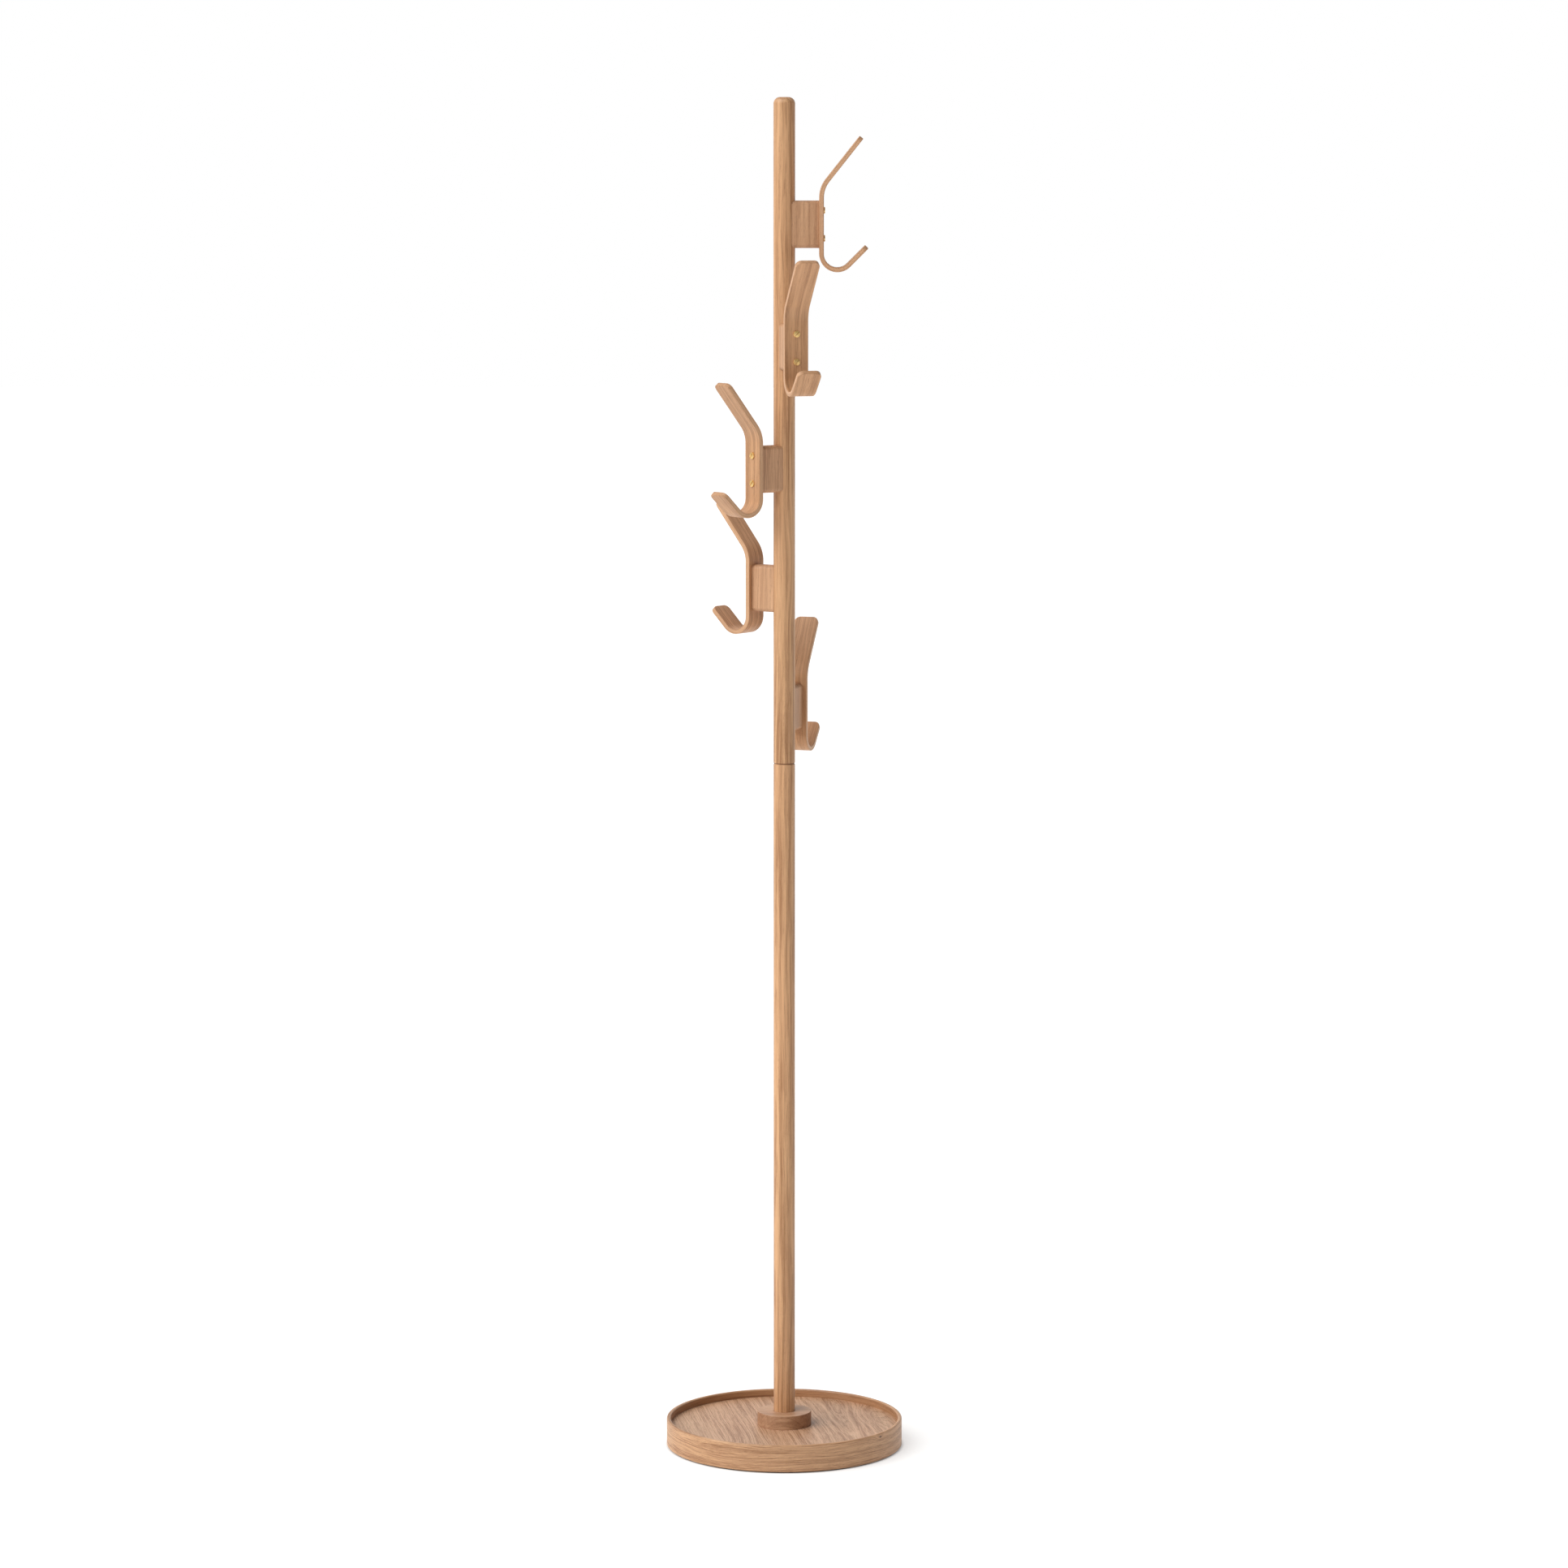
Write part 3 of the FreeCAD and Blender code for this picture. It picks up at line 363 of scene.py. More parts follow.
def make_screws(index, material):
    """The hook's two brass screws: slotted cheese heads with a slight dome, and the shanks behind them."""
    height, outward, sideways = hook_frame(index)
    dome = 0.2 * MM
    rounding = 0.3 * MM
    arc = np.linspace(0, math.pi / 2, 5)
    top = SCREW_HEAD_HEIGHT - dome
    flat_radius = SCREW_HEAD_RADIUS - rounding
    profile = [(0, -SCREW_LENGTH), (SCREW_RADIUS, 3 * SCREW_RADIUS - SCREW_LENGTH), (SCREW_RADIUS, 0)]
    profile += [(SCREW_HEAD_RADIUS, 0)]
    edge = top - rounding
    profile += [(flat_radius + rounding * math.cos(a), edge + rounding * math.sin(a)) for a in arc]
    profile += [(part * flat_radius, top + dome * (1 - part**2)) for part in (0.8, 0.6, 0.4, 0.2, 0)]
    blank = turned_mesh(f"screw_blank_{index}", profile, 48)
    slot = bpy.data.meshes.new("slot_cutter")
    reach, half = 1.5 * SCREW_HEAD_RADIUS, SCREW_SLOT_WIDTH / 2
    bottom, over = SCREW_HEAD_HEIGHT - SCREW_SLOT_DEPTH, SCREW_HEAD_HEIGHT + 1 * MM
    corners = [(x, y, z) for z in (bottom, over) for y in (-half, half) for x in (-reach, reach)]
    sides = [(0, 2, 3, 1), (4, 5, 7, 6), (0, 1, 5, 4), (2, 6, 7, 3), (0, 4, 6, 2), (1, 3, 7, 5)]
    slot.from_pydata(corners, [], sides)
    cutter = bpy.data.objects.new("slot_cutter", slot)
    bpy.context.scene.collection.objects.link(cutter)
    difference = blank.modifiers.new("slot", "BOOLEAN")
    difference.operation = "DIFFERENCE"
    difference.object = cutter
    difference.solver = "EXACT"
    ease = blank.modifiers.new("ease", "BEVEL")
    ease.width = 0.06 * MM
    ease.segments = 2
    ease.limit_method = "ANGLE"
    ease.angle_limit = math.radians(50)
    bpy.context.view_layer.update()
    head = bpy.data.meshes.new_from_object(blank.evaluated_get(bpy.context.evaluated_depsgraph_get()))
    for helper in (blank, cutter):
        bpy.data.objects.remove(helper)

    # The slot rises to the right as one looks at the head, at 45 degrees.
    slot_way = (sideways + [0, 0, 1]) / math.sqrt(2)
    turned = np.stack([slot_way, np.cross(outward, slot_way), outward], 1)
    vertices = np.zeros(len(head.vertices) * 3)
    head.vertices.foreach_get("co", vertices)
    vertices = vertices.reshape(-1, 3) @ turned.T
    faces = [tuple(face.vertices) for face in head.polygons]
    seat = outward * (STRIP_STANDOFF + STRIP_THICKNESS)
    points, polygons = [], []
    for sign in (1, -1):
        middle = seat + [0, 0, height + sign * SCREW_SPACING / 2]
        polygons += [tuple(corner + len(points) for corner in face) for face in faces]
        points += [tuple(place) for place in vertices + middle]
    mesh = bpy.data.meshes.new(f"hook_screws_{index + 1}_brass")
    mesh.from_pydata(points, [], polygons)
    mesh.polygons.foreach_set("use_smooth", [True] * len(mesh.polygons))
    mesh.set_sharp_from_angle(angle=math.radians(28))
    thing = bpy.data.objects.new(mesh.name, mesh)
    bpy.context.scene.collection.objects.link(thing)
    return finish_piece(thing, material, "brass_screw", f"hook_screws_{index + 1}")


# ---------------------------------------------------------------- turned pieces

# The ways that the two bevels of a joint face, outward and up.
UP_AND_OUT = (math.sqrt(0.5), math.sqrt(0.5))
DOWN_AND_OUT = (math.sqrt(0.5), -math.sqrt(0.5))


def arc_profile(centre, radius, start, end, count=7):
    """Points and normals along an arc of a turned profile, angles in degrees from outward towards up."""
    angles = np.radians(np.linspace(start, end, count))
    ways = np.stack([np.cos(angles), np.sin(angles)], 1)
    return [(tuple(np.array(centre) + radius * way), tuple(way)) for way in ways]


def turned_shell(name, profile, segments, wood_of, marks_of=None):
    """A turned piece about Z. Its profile lists places and normals, outward and up, and None breaks it."""
    shell = Shell()
    angles = np.linspace(0, 2 * math.pi, segments + 1)
    pieces, piece = [], []
    for entry in profile + [None]:
        if entry is None:
            pieces.append(piece)
            piece = []
        else:
            piece.append(entry)
    for piece in pieces:
        place = np.array([entry[0] for entry in piece])[:, None, :]
        normal = np.array([entry[1] for entry in piece])[:, None, :]
        points = ring_points(place[..., 0], place[..., 1], angles)
        normals = ring_points(normal[..., 0], normal[..., 1], angles)
        spin = np.broadcast_to(angles, points.shape[:-1])
        marks = (0, 0, 0) if marks_of is None else marks_of(normals)
        shell.grid(points, normals, wood_of(points, spin), marks)
    return shell.to_object(name)


def flat(*places, up):
    """Profile points on a level face, facing up (1) or down (-1)."""
    return [(place, (0, up)) for place in places]


def wall(*places, out=1):
    """Profile points on an upright face, facing outward (1) or towards the axis (-1)."""
    return [(place, (out, 0)) for place in places]


def bevel(*places, way):
    """Profile points on a bevel, with a break on both sides of it, facing the given way."""
    return [None] + [(place, way) for place in places] + [None]


def along_z(cut_from):
    """Wood whose grain runs up the piece."""
    return lambda points, spin: points[..., [2, 0, 1]] + np.array(cut_from)


def marks_from(end_grain, up):
    """Marks of a turned piece, where what is neither level nor upright is an eased edge."""
    wear = 1 - np.abs(2 * np.abs(up) - 1)
    return np.stack([end_grain, wear, np.zeros_like(up)], -1)


def upright_marks(normals):
    """Marks for a piece with upright grain, whose level faces are end grain."""
    return marks_from(np.abs(normals[..., 2]), normals[..., 2])


def pole_marks_and_shade(normals):
    """Marks of the pole, whose bevels that face down get painted shade in Z in place of wear."""
    marks = upright_marks(normals)
    # Painted shade: the bevels that face down, under the joint, are darkened as if in shadow.
    if np.allclose(normals[..., 2], DOWN_AND_OUT[1]):
        marks[..., 1:] = 0, 1
    return marks


def make_pole(node, top_rounding, cut_from, material):
    """One half of the pole. Both ends are bevelled, unless top_rounding says how far the top is rounded."""
    low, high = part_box(node)
    radius = (high.x - low.x) / 2
    narrow = radius - POLE_BEVEL
    shoulder = high.z - (top_rounding or POLE_BEVEL)
    profile = flat((0, low.z), (narrow, low.z), up=-1)
    profile += bevel((narrow, low.z), (radius, low.z + POLE_BEVEL), way=DOWN_AND_OUT)
    profile += wall(*[(radius, height) for height in np.linspace(low.z + POLE_BEVEL, shoulder, 24)])
    if top_rounding:
        profile += arc_profile((radius - top_rounding, shoulder), top_rounding, 0, 90, 11)[1:]
        profile += flat((0, high.z), up=1)
    else:
        profile += bevel((radius, shoulder), (narrow, high.z), way=UP_AND_OUT)
        profile += flat((narrow, high.z), (0, high.z), up=1)
    thing = turned_shell(f"{node}_oak", profile, 96, along_z(cut_from), pole_marks_and_shade)
    return finish_piece(thing, material, "oak_pole", node)


def make_rim(material):
    """The bent band around the base, whose grain runs around it, with a rounded top edge."""
    low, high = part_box("tray_rim")
    outer = RIM_RADIUS
    inner = outer - RIM_THICKNESS
    top_rounding, bottom_rounding = 2 * MM, 0.8 * MM

    def wood_of(points, spin):
        around = spin * outer
        depth = np.hypot(points[..., 0], points[..., 1]) - outer
        return np.stack([around, points[..., 2], depth], -1) + RIM_WOOD_START

    def marks_of(normals):
        return marks_from(np.zeros(normals.shape[:-1]), normals[..., 2])

    profile = arc_profile((outer - bottom_rounding, low.z + bottom_rounding), bottom_rounding, -90, 0, 5)
    heights = np.linspace(low.z + bottom_rounding, high.z - top_rounding, 8)
    profile += wall(*[(outer, height) for height in heights[1:]])
    profile += arc_profile((outer - top_rounding, high.z - top_rounding), top_rounding, 0, 90)
    profile += arc_profile((inner + top_rounding, high.z - top_rounding), top_rounding, 90, 180)
    profile += wall((inner, low.z + bottom_rounding), out=-1)
    profile += arc_profile((inner + bottom_rounding, low.z + bottom_rounding), bottom_rounding, 180, 270, 5)
    profile += flat((outer - bottom_rounding, low.z), up=-1)
    thing = turned_shell("tray_rim_oak", profile, 256, wood_of, marks_of)
    return finish_piece(thing, material, "oak_band", "tray_rim")


def veneer_place(x, y):
    """Where a point of the tray's floor is in the sheet of veneer, along and across the grain."""
    return x * VENEER_WAY[0] + y * VENEER_WAY[1] + 6.0, x * VENEER_WAY[1] - y * VENEER_WAY[0]


def make_tray_floor(material):
    """The veneered board."""
    low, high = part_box("tray_floor")
    radius = (high.x - low.x) / 2

    def wood_of(points, spin):
        return np.stack([*veneer_place(points[..., 0], points[..., 1]), points[..., 2]], -1)

    profile = flat(*[(radius * part, high.z) for part in np.linspace(0, 1, 12)], up=1)
    profile += [None]
    profile += wall((radius, high.z), (radius, low.z))
    profile += [None]
    profile += flat((radius, low.z), (0, low.z), up=-1)
    thing = turned_shell("tray_floor_oak_veneer", profile, 192, wood_of)
    return finish_piece(thing, material, "oak_veneer", "tray_floor")


def make_collar(material):
    """The turned ring around the foot of the pole, cut from a board whose grain lies level."""
    low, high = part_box("collar")
    pole_low, pole_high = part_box("pole_lower")
    outer = (high.x - low.x) / 2
    inner = (pole_high.x - pole_low.x) / 2 + GLUE_GAP
    rounding, bore_rounding = 0.6 * MM, 0.4 * MM

    def wood_of(points, spin):
        return points + [8.0, 0.3, 0.1]

    def marks_of(normals):
        return marks_from(np.abs(normals[..., 0]), normals[..., 2])

    profile = flat((inner, low.z), (outer - rounding, low.z), up=-1)
    profile += arc_profile((outer - rounding, low.z + rounding), rounding, -90, 0, 5)
    profile += arc_profile((outer - rounding, high.z - rounding), rounding, 0, 90, 5)
    profile += arc_profile((inner + bore_rounding, high.z - bore_rounding), bore_rounding, 90, 180, 4)
    profile += wall((inner, low.z), out=-1)
    thing = turned_shell("collar_oak", profile, 128, wood_of, marks_of)
    return finish_piece(thing, material, "oak_collar", "collar")


# ---------------------------------------------------------------- materials

PORE_COLOR = (0.16, 0.080, 0.040, 1.0)
WORN_COLOR = (0.77, 0.49, 0.30, 1.0)
# The colour of the painted shade on the pole's downward bevels.
BEVEL_SHADE_COLOR = (0.17, 0.07, 0.032, 1.0)
KNOT_COLOR = (0.09, 0.038, 0.018, 1.0)


class Graph:
    """A material's nodes, added by short calls. A value is a number, a colour or another node's output."""

    def __init__(self, name):
        self.material = bpy.data.materials.new(name)
        self.material.use_nodes = True
        self.tree = self.material.node_tree
        self.tree.nodes.clear()

    def add(self, kind, inputs=(), **settings):
        node = self.tree.nodes.new(kind)
        for key, setting in settings.items():
            setattr(node, key, setting)
        for key, value in dict(inputs).items():
            if isinstance(value, bpy.types.NodeSocket):
                self.tree.links.new(value, node.inputs[key])
            else:
                node.inputs[key].default_value = value
        return node

    def math(self, operation, *values):
        return self.add("ShaderNodeMath", enumerate(values), operation=operation).outputs[0]

    def vector(self, operation, *values):
        return self.add("ShaderNodeVectorMath", enumerate(values), operation=operation).outputs[0]

    def stretched(self, place, along, across, deep=None):
        """Divide a place by the size of a feature along and across the grain, in millimetres."""
        deep = across if deep is None else deep
        return self.vector("MULTIPLY", place, (1 / along, 1 / across, 1 / deep))

    def length(self, place):
        return self.add("ShaderNodeVectorMath", {0: place}, operation="LENGTH").outputs["Value"]

    def noise(self, place, detail=2.0, roughness=0.5, distortion=0.0):
        """A noise whose features are about 1 across, as a value from 0 to 1."""
        inputs = {"Vector": place, "Scale": 1.0, "Detail": detail, "Roughness": roughness}
        return self.add("ShaderNodeTexNoise", {**inputs, "Distortion": distortion}).outputs["Fac"]

    def between(self, value, low, high, to_low=0.0, to_high=1.0):
        """Map a value from one range to another, smoothly and without passing its ends."""
        inputs = enumerate((value, low, high, to_low, to_high))
        return self.add("ShaderNodeMapRange", inputs, interpolation_type="SMOOTHSTEP").outputs[0]

    def blend(self, factor, first, second, mode="MIX"):
        """Blend two colours."""
        inputs = {0: factor, 6: first, 7: second}
        return self.add("ShaderNodeMix", inputs, data_type="RGBA", blend_type=mode).outputs[2]

    def bump(self, height, distance, strength=1.0):
        inputs = {"Height": height, "Distance": distance, "Strength": strength}
        return self.add("ShaderNodeBump", inputs).outputs[0]

    def surface(self, **inputs):
        """End the graph in a Principled shader. Underscores in the names of the inputs stand for spaces."""
        inputs = {key.replace("_", " "): value for key, value in inputs.items()}
        shader = self.add("ShaderNodeBsdfPrincipled", inputs)
        self.add("ShaderNodeOutputMaterial", {"Surface": shader.outputs[0]})
        return self.material


def linear(red, green, blue):
    """A colour from its 0 to 255 display values."""
    channels = [value / 255 for value in (red, green, blue)]
    return tuple(c / 12.92 if c <= 0.04045 else ((c + 0.055) / 1.055) ** 2.4 for c in channels) + (1.0,)


def oak(
    name,
    light,
    dark,
    pith=(0.0, -70.0),
    taper=0.012,
    ring_width=2.6,
    ring_strength=0.55,
    streak_width=5.0,
    streak_strength=0.5,
    fibre_strength=0.85,
    pore_strength=0.6,
    plies=False,
    dark_below=None,
    swirl=None,
    knot=None,
):
    """Oak that has been lacquered satin. Lengths are in millimetres.

    Its growth rings are circles about the pith, of uneven width and depth, which taper along the grain.
    Over them lie broad streaks, fine fibres, and short pores that are open and dark. End grain is darker,
    worn edges are a little lighter and smoother, and painted shade, brown, lies on the downward bevels of
    the pole's joint. Plies are the layers of a bent strip. Below the depth dark_below the colour darkens,
    as painted shade on the rim's inner face inside the tray. A swirl is a centre, a reach along and across
    the grain, and a height by which the rings bulge there. A knot is the centre of a dark spot.
    """
    graph = Graph(name)
    wood = graph.add("ShaderNodeAttribute", attribute_name="wood").outputs["Vector"]
    place = graph.vector("MULTIPLY", wood, (1000.0, 1000.0, 1000.0))
    marks = graph.add("ShaderNodeAttribute", attribute_name="marks").outputs["Vector"]
    marks = graph.add("ShaderNodeSeparateXYZ", {0: marks}).outputs
    end_grain, wear, bevel_shade = marks[0], marks[1], marks[2]

    inputs = {"Vector": graph.stretched(place, 190, 30), "Scale": 1.0, "Detail": 2.0}
    wander = graph.add("ShaderNodeTexNoise", inputs).outputs["Color"]
    wander = graph.vector("SUBTRACT", wander, (0.5, 0.5, 0.5))
    grain = graph.vector("ADD", place, graph.vector("MULTIPLY", wander, (0.0, 13.0, 13.0)))

    across = graph.vector("MULTIPLY", graph.vector("SUBTRACT", grain, (0.0, *pith)), (0.0, 1.0, 1.0))
    radius = graph.length(across)
    if swirl is not None:
        centre, reach_along, reach_across, height = swirl
        away = graph.vector("SUBTRACT", grain, centre)
        away = graph.length(graph.stretched(away, reach_along, reach_across))
        bulge = graph.math("EXPONENT", graph.math("MULTIPLY", graph.math("MULTIPLY", away, away), -1.0))
        radius = graph.math("MULTIPLY_ADD", bulge, height, radius)
    along = graph.add("ShaderNodeSeparateXYZ", {0: grain}).outputs[0]
    ring = graph.math("DIVIDE", graph.math("MULTIPLY_ADD", along, taper, radius), ring_width)
    drift = graph.math("MULTIPLY", along, 0.004)
    rings = graph.add("ShaderNodeCombineXYZ", {0: ring, 1: drift}).outputs[0]
    rings = graph.noise(rings, detail=4.0, roughness=0.65)
    early = graph.between(rings, 0.46, 0.62)

    streaks = graph.noise(graph.stretched(grain, 260, streak_width), detail=2.0)
    fibres = graph.noise(graph.stretched(grain, 28, 0.55), detail=3.0, roughness=0.6)
    pores = graph.noise(graph.stretched(grain, 6, 0.28), detail=1.0)
    pores = graph.between(pores, 0.60, 0.68)
    pores = graph.math("MULTIPLY", pores, graph.math("MULTIPLY_ADD", early, 0.75, 0.25))
    region = graph.noise(graph.stretched(place, 500, 60), detail=1.0)

    tone = graph.math("MULTIPLY_ADD", graph.math("SUBTRACT", rings, 0.5), 2 * ring_strength, 0.45)
    tone = graph.math("MULTIPLY_ADD", graph.math("SUBTRACT", streaks, 0.5), 2 * streak_strength, tone)
    tone = graph.math("MULTIPLY_ADD", graph.math("SUBTRACT", fibres, 0.5), fibre_strength, tone)
    color = graph.blend(graph.between(tone, 0.0, 1.0), light, dark)
    rosy = graph.blend(1.0, color, (1.01, 0.975, 0.97, 1.0), "MULTIPLY")
    color = graph.blend(graph.between(region, 0.35, 0.65), color, rosy)
    color = graph.blend(graph.math("MULTIPLY", pores, pore_strength), color, PORE_COLOR)
    if plies:
        depth = graph.add("ShaderNodeSeparateXYZ", {0: wood}).outputs[2]
        ply = graph.math("ADD", depth, STRIP_THICKNESS / 2)
        ply = graph.math("DIVIDE", ply, STRIP_THICKNESS / PLY_COUNT)
        off_middle = graph.math("ABSOLUTE", depth)
        inside = graph.between(off_middle, STRIP_THICKNESS * 0.47, STRIP_THICKNESS * 0.42)
        glue = graph.between(graph.math("PINGPONG", ply, 0.5), 0.09, 0.02)
        number = {"W": graph.math("FLOOR", ply)}
        paleness = graph.add("ShaderNodeTexWhiteNoise", number, noise_dimensions="1D").outputs["Value"]
        paleness = graph.math("MULTIPLY_ADD", paleness, 0.3, 0.2)
        color = graph.blend(graph.math("MULTIPLY", paleness, inside), color, WORN_COLOR)
        glue = graph.math("MULTIPLY", glue, inside)
        color = graph.blend(graph.math("MULTIPLY", glue, 0.35), color, PORE_COLOR)
    # Painted shade: below dark_below, on the rim's inner face inside the tray, the colour darkens towards
    # dark.
    if dark_below is not None:
        depth = graph.add("ShaderNodeSeparateXYZ", {0: place}).outputs[2]
        color = graph.blend(graph.between(depth, dark_below, dark_below - 0.5, 0.0, 0.4), color, dark)
    color = graph.blend(graph.math("MULTIPLY", end_grain, 0.35), color, dark)
    patchy = graph.between(graph.noise(graph.stretched(place, 30, 12)), 0.35, 0.65, 0.05, 0.25)
    color = graph.blend(graph.math("MULTIPLY", wear, patchy), color, WORN_COLOR)
    # Painted shade on the pole's downward bevels, where the joint is in shadow.
    color = graph.blend(graph.math("MULTIPLY", bevel_shade, 0.95), color, BEVEL_SHADE_COLOR)
    if knot is not None:
        away = graph.length(graph.stretched(graph.vector("SUBTRACT", place, knot), 3.4, 1.8))
        color = graph.blend(graph.between(away, 1.0, 0.4, 0.0, 0.9), color, KNOT_COLOR)

    roughness = graph.math("MULTIPLY_ADD", fibres, 0.16, 0.40)
    roughness = graph.math("MULTIPLY_ADD", pores, 0.2, roughness)
    roughness = graph.math("MULTIPLY_ADD", end_grain, 0.1, roughness)
    roughness = graph.math("MULTIPLY_ADD", wear, -0.05, roughness)
    relief = graph.math("MULTIPLY_ADD", pores, -1.0, graph.math("MULTIPLY", fibres, 0.5))
    relief = graph.math("MULTIPLY_ADD", rings, -0.3, relief)
    normal = graph.bump(relief, 0.06 * MM, 0.6)
    return graph.surface(Base_Color=color, Roughness=roughness, Normal=normal, Specular_IOR_Level=0.5)


def brass(name):
    """Brass with slight tarnish in patches and fine dulled scratches."""
    graph = Graph(name)
    place = graph.add("ShaderNodeTexCoord").outputs["Object"]
    tarnish = graph.noise(graph.vector("MULTIPLY", place, (260.0, 260.0, 260.0)), detail=3.0)
    scratches = graph.vector("MULTIPLY", place, (900.0, 2600.0, 5200.0))
    scratches = graph.noise(scratches, detail=3.0, roughness=0.7)
    color = graph.blend(graph.between(tarnish, 0.4, 0.75), (0.97, 0.69, 0.30, 1.0), (0.80, 0.52, 0.19, 1.0))
    roughness = graph.math("MULTIPLY_ADD", tarnish, 0.16, 0.28)
    roughness = graph.math("MULTIPLY_ADD", scratches, 0.08, roughness)
    normal = graph.bump(scratches, 0.01 * MM, 0.4)
    return graph.surface(Base_Color=color, Metallic=1.0, Roughness=roughness, Normal=normal)


def plated_steel(name, light, dark, grain):
    """Zinc plating or rolled steel, with a cloudy surface and fine scratches."""
    graph = Graph(name)
    place = graph.add("ShaderNodeTexCoord").outputs["Object"]
    clouds = graph.noise(graph.vector("MULTIPLY", place, (grain, grain, grain)), detail=4.0)
    scratches = graph.noise(graph.vector("MULTIPLY", place, (300.0, 4000.0, 4000.0)), detail=2.0)
    color = graph.blend(graph.between(clouds, 0.3, 0.7), light, dark)
    roughness = graph.math("MULTIPLY_ADD", clouds, 0.25, 0.28)
    normal = graph.bump(scratches, 0.01 * MM, 0.5)
    return graph.surface(Base_Color=color, Metallic=1.0, Roughness=roughness, Normal=normal)


def fibreboard(name):
    """Pressed fibreboard, mottled brown with loose fibres."""
    graph = Graph(name)
    place = graph.add("ShaderNodeTexCoord").outputs["Object"]
    mottle = graph.noise(graph.vector("MULTIPLY", place, (350.0, 350.0, 350.0)), detail=5.0, roughness=0.7)
    fibres = graph.vector("MULTIPLY", place, (1800.0, 500.0, 900.0))
    fibres = graph.noise(fibres, detail=3.0, distortion=1.5)
    color = graph.between(mottle, 0.3, 0.7)
    color = graph.blend(color, (0.19, 0.11, 0.06, 1.0), (0.30, 0.18, 0.10, 1.0))
    color = graph.blend(graph.between(fibres, 0.6, 0.75), color, (0.42, 0.28, 0.17, 1.0))
    roughness = graph.math("MULTIPLY_ADD", mottle, 0.2, 0.62)
    return graph.surface(Base_Color=color, Roughness=roughness, Normal=graph.bump(fibres, 0.05 * MM, 0.7))


def felt(name):
    """Dark pressed felt, with matted hairs."""
    graph = Graph(name)
    place = graph.add("ShaderNodeTexCoord").outputs["Object"]
    hairs = graph.vector("MULTIPLY", place, (2600.0, 2600.0, 1400.0))
    hairs = graph.noise(hairs, detail=5.0, distortion=2.0)
    clumps = graph.noise(graph.vector("MULTIPLY", place, (500.0, 500.0, 500.0)), detail=2.0)
    color = graph.between(hairs, 0.3, 0.7)
    color = graph.blend(color, (0.030, 0.027, 0.024, 1.0), (0.10, 0.092, 0.085, 1.0))
    color = graph.blend(graph.between(clumps, 0.4, 0.8, 0.0, 0.4), color, (0.05, 0.045, 0.04, 1.0))
    roughness = graph.math("MULTIPLY_ADD", hairs, 0.1, 0.85)
    normal = graph.bump(hairs, 0.3 * MM, 0.8)
    return graph.surface(Base_Color=color, Roughness=roughness, Sheen_Weight=0.4, Normal=normal)


def floor_material():
    """A pale seamless floor that glows faintly, as if lit from below, everywhere but under the base."""
    graph = Graph("studio_floor")
    place = graph.add("ShaderNodeTexCoord").outputs["Object"]
    uneven = graph.noise(graph.vector("MULTIPLY", place, (3.0, 3.0, 3.0)), detail=2.0)
    clear = graph.between(graph.length(place), 0.97 * RIM_RADIUS, 1.03 * RIM_RADIUS)
    color = graph.blend(uneven, (0.50, 0.50, 0.50, 1.0), (0.54, 0.54, 0.54, 1.0))
    return graph.surface(
        Base_Color=color,
        Roughness=0.9,
        Specular_IOR_Level=0.1,
        Emission_Color=(1.0, 1.0, 1.0, 1.0),
        Emission_Strength=graph.math("MULTIPLY", clear, 0.6),
    )


# ---------------------------------------------------------------- the rack


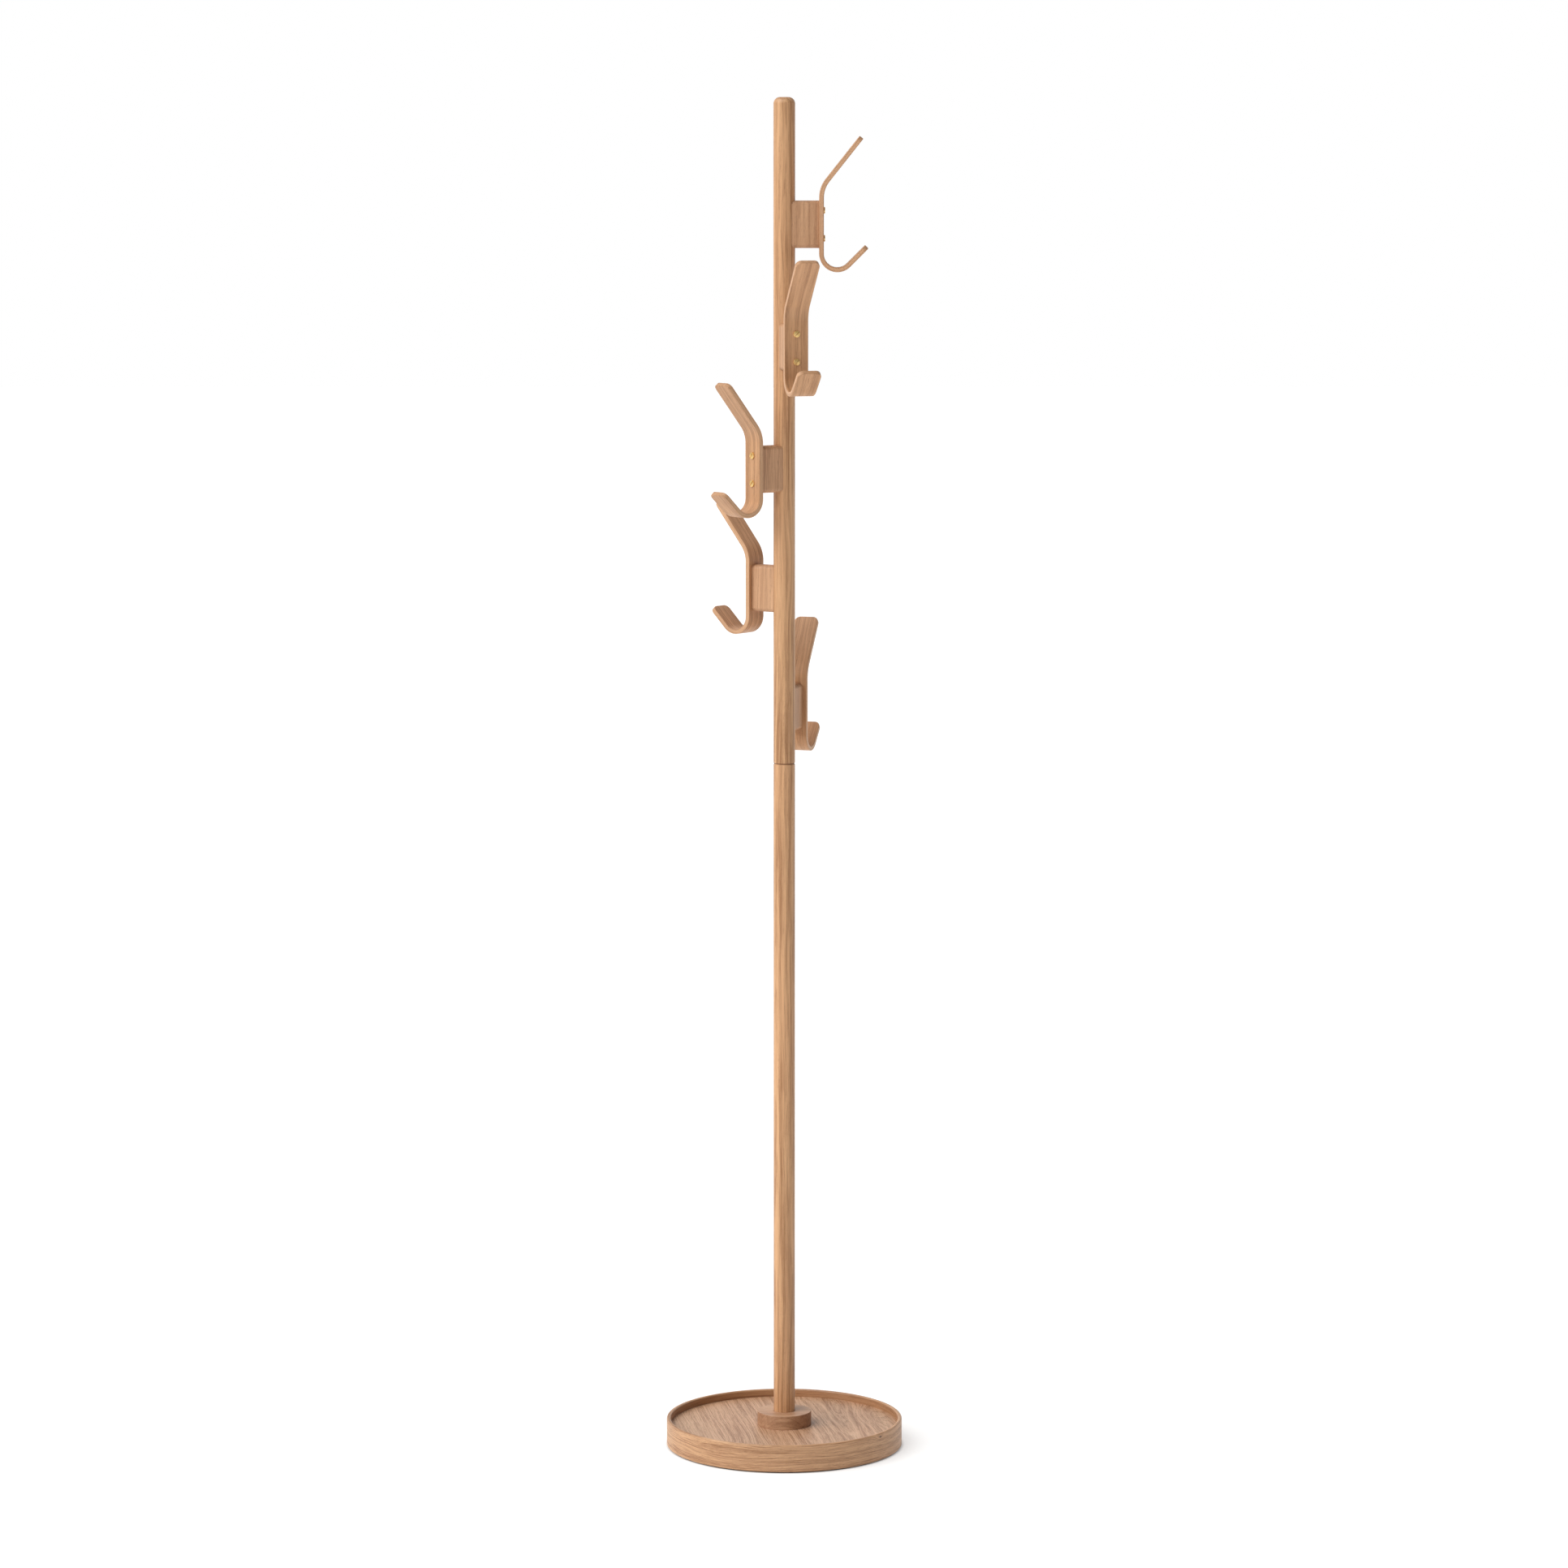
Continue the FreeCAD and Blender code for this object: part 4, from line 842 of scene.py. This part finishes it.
def make_rack():
    """Every piece that shows, with its material, and the materials of the hidden CAD nodes."""
    swirl_along, swirl_across = veneer_place(115 * MM, 48 * MM)
    strip = oak("laminated_oak", linear(213, 165, 122), linear(158, 111, 73), pith=(4.0, -46.0), plies=True)
    block = oak("oak_block", linear(214, 169, 130), linear(160, 115, 81), pith=(30.0, 0.0))
    pole = oak(
        "oak_pole",
        linear(218, 172, 127),
        linear(160, 113, 74),
        pith=(6.0, -38.0),
        streak_width=4.0,
        streak_strength=0.85,
        pore_strength=0.4,
    )
    band = oak(
        "oak_band",
        linear(211, 166, 125),
        linear(148, 103, 69),
        pith=(20.0, -60.0),
        taper=0.004,
        ring_width=1.5,
        ring_strength=0.8,
        fibre_strength=1.8,
        pore_strength=0.9,
        # Painted shade on the rim's inner face, inside the tray.
        dark_below=(RIM_WOOD_START[2] - 0.85 * RIM_THICKNESS) / MM,
        swirl=(RIM_KNOT, 12.0, 4.0, 5.0),
        knot=RIM_KNOT,
    )
    veneer = oak(
        "oak_veneer",
        linear(210, 171, 138),
        linear(153, 110, 78),
        pith=(-80.0, -30.0),
        ring_width=1.7,
        ring_strength=1.0,
        fibre_strength=1.7,
        pore_strength=0.9,
        swirl=((swirl_along / MM, swirl_across / MM, 27.0), 42.0, 15.0, 16.0),
    )
    collar = oak(
        "oak_collar",
        linear(206, 166, 132),
        linear(150, 106, 76),
        pith=(0.0, -50.0),
        ring_width=2.2,
    )
    screw_brass = brass("brass")
    for index in range(HOOK_COUNT):
        make_hook(index, strip)
        make_block(index, block)
        make_screws(index, screw_brass)
    make_pole("pole_upper", 8.5 * MM, (0.2, 0.0, 0.0), pole)
    make_pole("pole_lower", 0, (4.3, 0.13, 0.05), pole)
    make_rim(band)
    make_tray_floor(veneer)
    make_collar(collar)

    zinc = plated_steel("zinc_plated_steel", (0.62, 0.63, 0.66, 1.0), (0.46, 0.48, 0.52, 1.0), 220.0)
    rolled = plated_steel("ballast_steel", (0.16, 0.16, 0.17, 1.0), (0.26, 0.25, 0.25, 1.0), 60.0)
    dressings = {
        zinc: ("pole_stud", "base_washer", "base_bolt", "collar_screws", "cover_screws"),
        brass("brass_insert"): ("upper_insert", "lower_insert", "base_insert"),
        rolled: ("ballast_plate",),
        fibreboard("fibreboard"): ("bottom_cover",),
        felt("felt"): ("foot_pads",),
    }
    for material, nodes in dressings.items():
        for node in nodes:
            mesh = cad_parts[node].data
            mesh.materials.clear()
            mesh.materials.append(material)


# ---------------------------------------------------------------- studio


def make_floor():
    """A wide pale floor."""
    half = 30.0
    mesh = bpy.data.meshes.new("studio_floor")
    corners = [(-half, -half, 0), (half, -half, 0), (half, half, 0), (-half, half, 0)]
    mesh.from_pydata(corners, [], [(0, 1, 2, 3)])
    floor = bpy.data.objects.new("studio_floor", mesh)
    bpy.context.scene.collection.objects.link(floor)
    mesh.materials.append(floor_material())


def make_key_light():
    """A very large soft key light from the upper left."""
    key = bpy.data.lights.new("key", "SUN")
    key.energy = 3.1
    key.angle = math.radians(64)
    key.color = (1.0, 0.985, 0.965)
    key_object = bpy.data.objects.new("key", key)
    left, rise = math.radians(60), math.radians(46)
    towards = Vector((-math.sin(left) * math.cos(rise), -math.cos(left) * math.cos(rise), math.sin(rise)))
    key_object.rotation_euler = towards.to_track_quat("Z", "Y").to_euler()
    key_object.location = towards * 5
    bpy.context.scene.collection.objects.link(key_object)


def make_world():
    """A white backdrop behind the rack and a dim room in front of it, which the camera sees as white."""
    world = bpy.data.worlds.new("studio")
    bpy.context.scene.world = world
    world.use_nodes = True
    tree = world.node_tree
    tree.nodes.clear()

    def add(kind, **inputs):
        node = tree.nodes.new(kind)
        for key_name, value in inputs.items():
            node.inputs[key_name.replace("_", " ")].default_value = value
        return node

    way = add("ShaderNodeTexCoord")
    parts = add("ShaderNodeSeparateXYZ")
    depth = add("ShaderNodeMapRange", From_Min=0.1, From_Max=0.85, To_Min=0.09, To_Max=1.0)
    fill = add("ShaderNodeBackground", Color=(1.0, 0.99, 0.98, 1.0))
    seen = add("ShaderNodeBackground", Color=(1.0, 1.0, 1.0, 1.0), Strength=1.0)
    rays = add("ShaderNodeLightPath")
    chooser = add("ShaderNodeMixShader")
    output = add("ShaderNodeOutputWorld")
    for source, target in (
        (way.outputs["Generated"], parts.inputs[0]),
        (parts.outputs["Y"], depth.inputs["Value"]),
        (depth.outputs["Result"], fill.inputs["Strength"]),
        (rays.outputs["Is Camera Ray"], chooser.inputs[0]),
        (fill.outputs[0], chooser.inputs[1]),
        (seen.outputs[0], chooser.inputs[2]),
        (chooser.outputs[0], output.inputs[0]),
    ):
        tree.links.new(source, target)


def make_camera():
    """A long lens that looks slightly down at a point halfway up the pole."""
    camera = bpy.data.cameras.new("camera")
    camera.sensor_width = 36
    camera.lens = 118.4
    camera.clip_end = 200
    camera_object = bpy.data.objects.new("camera", camera)
    distance, pitch = 6.749, math.radians(7.067)
    target = Vector((-0.0004, 0, 0.8837))
    back = Vector((0, -math.cos(pitch), math.sin(pitch)))
    camera_object.location = target + distance * back
    camera_object.rotation_euler = back.to_track_quat("Z", "Y").to_euler()
    bpy.context.scene.collection.objects.link(camera_object)
    bpy.context.scene.camera = camera_object
    bpy.context.scene.view_settings.view_transform = "Standard"
    bpy.context.scene.view_settings.look = "None"


make_rack()
make_floor()
make_key_light()
make_world()
make_camera()
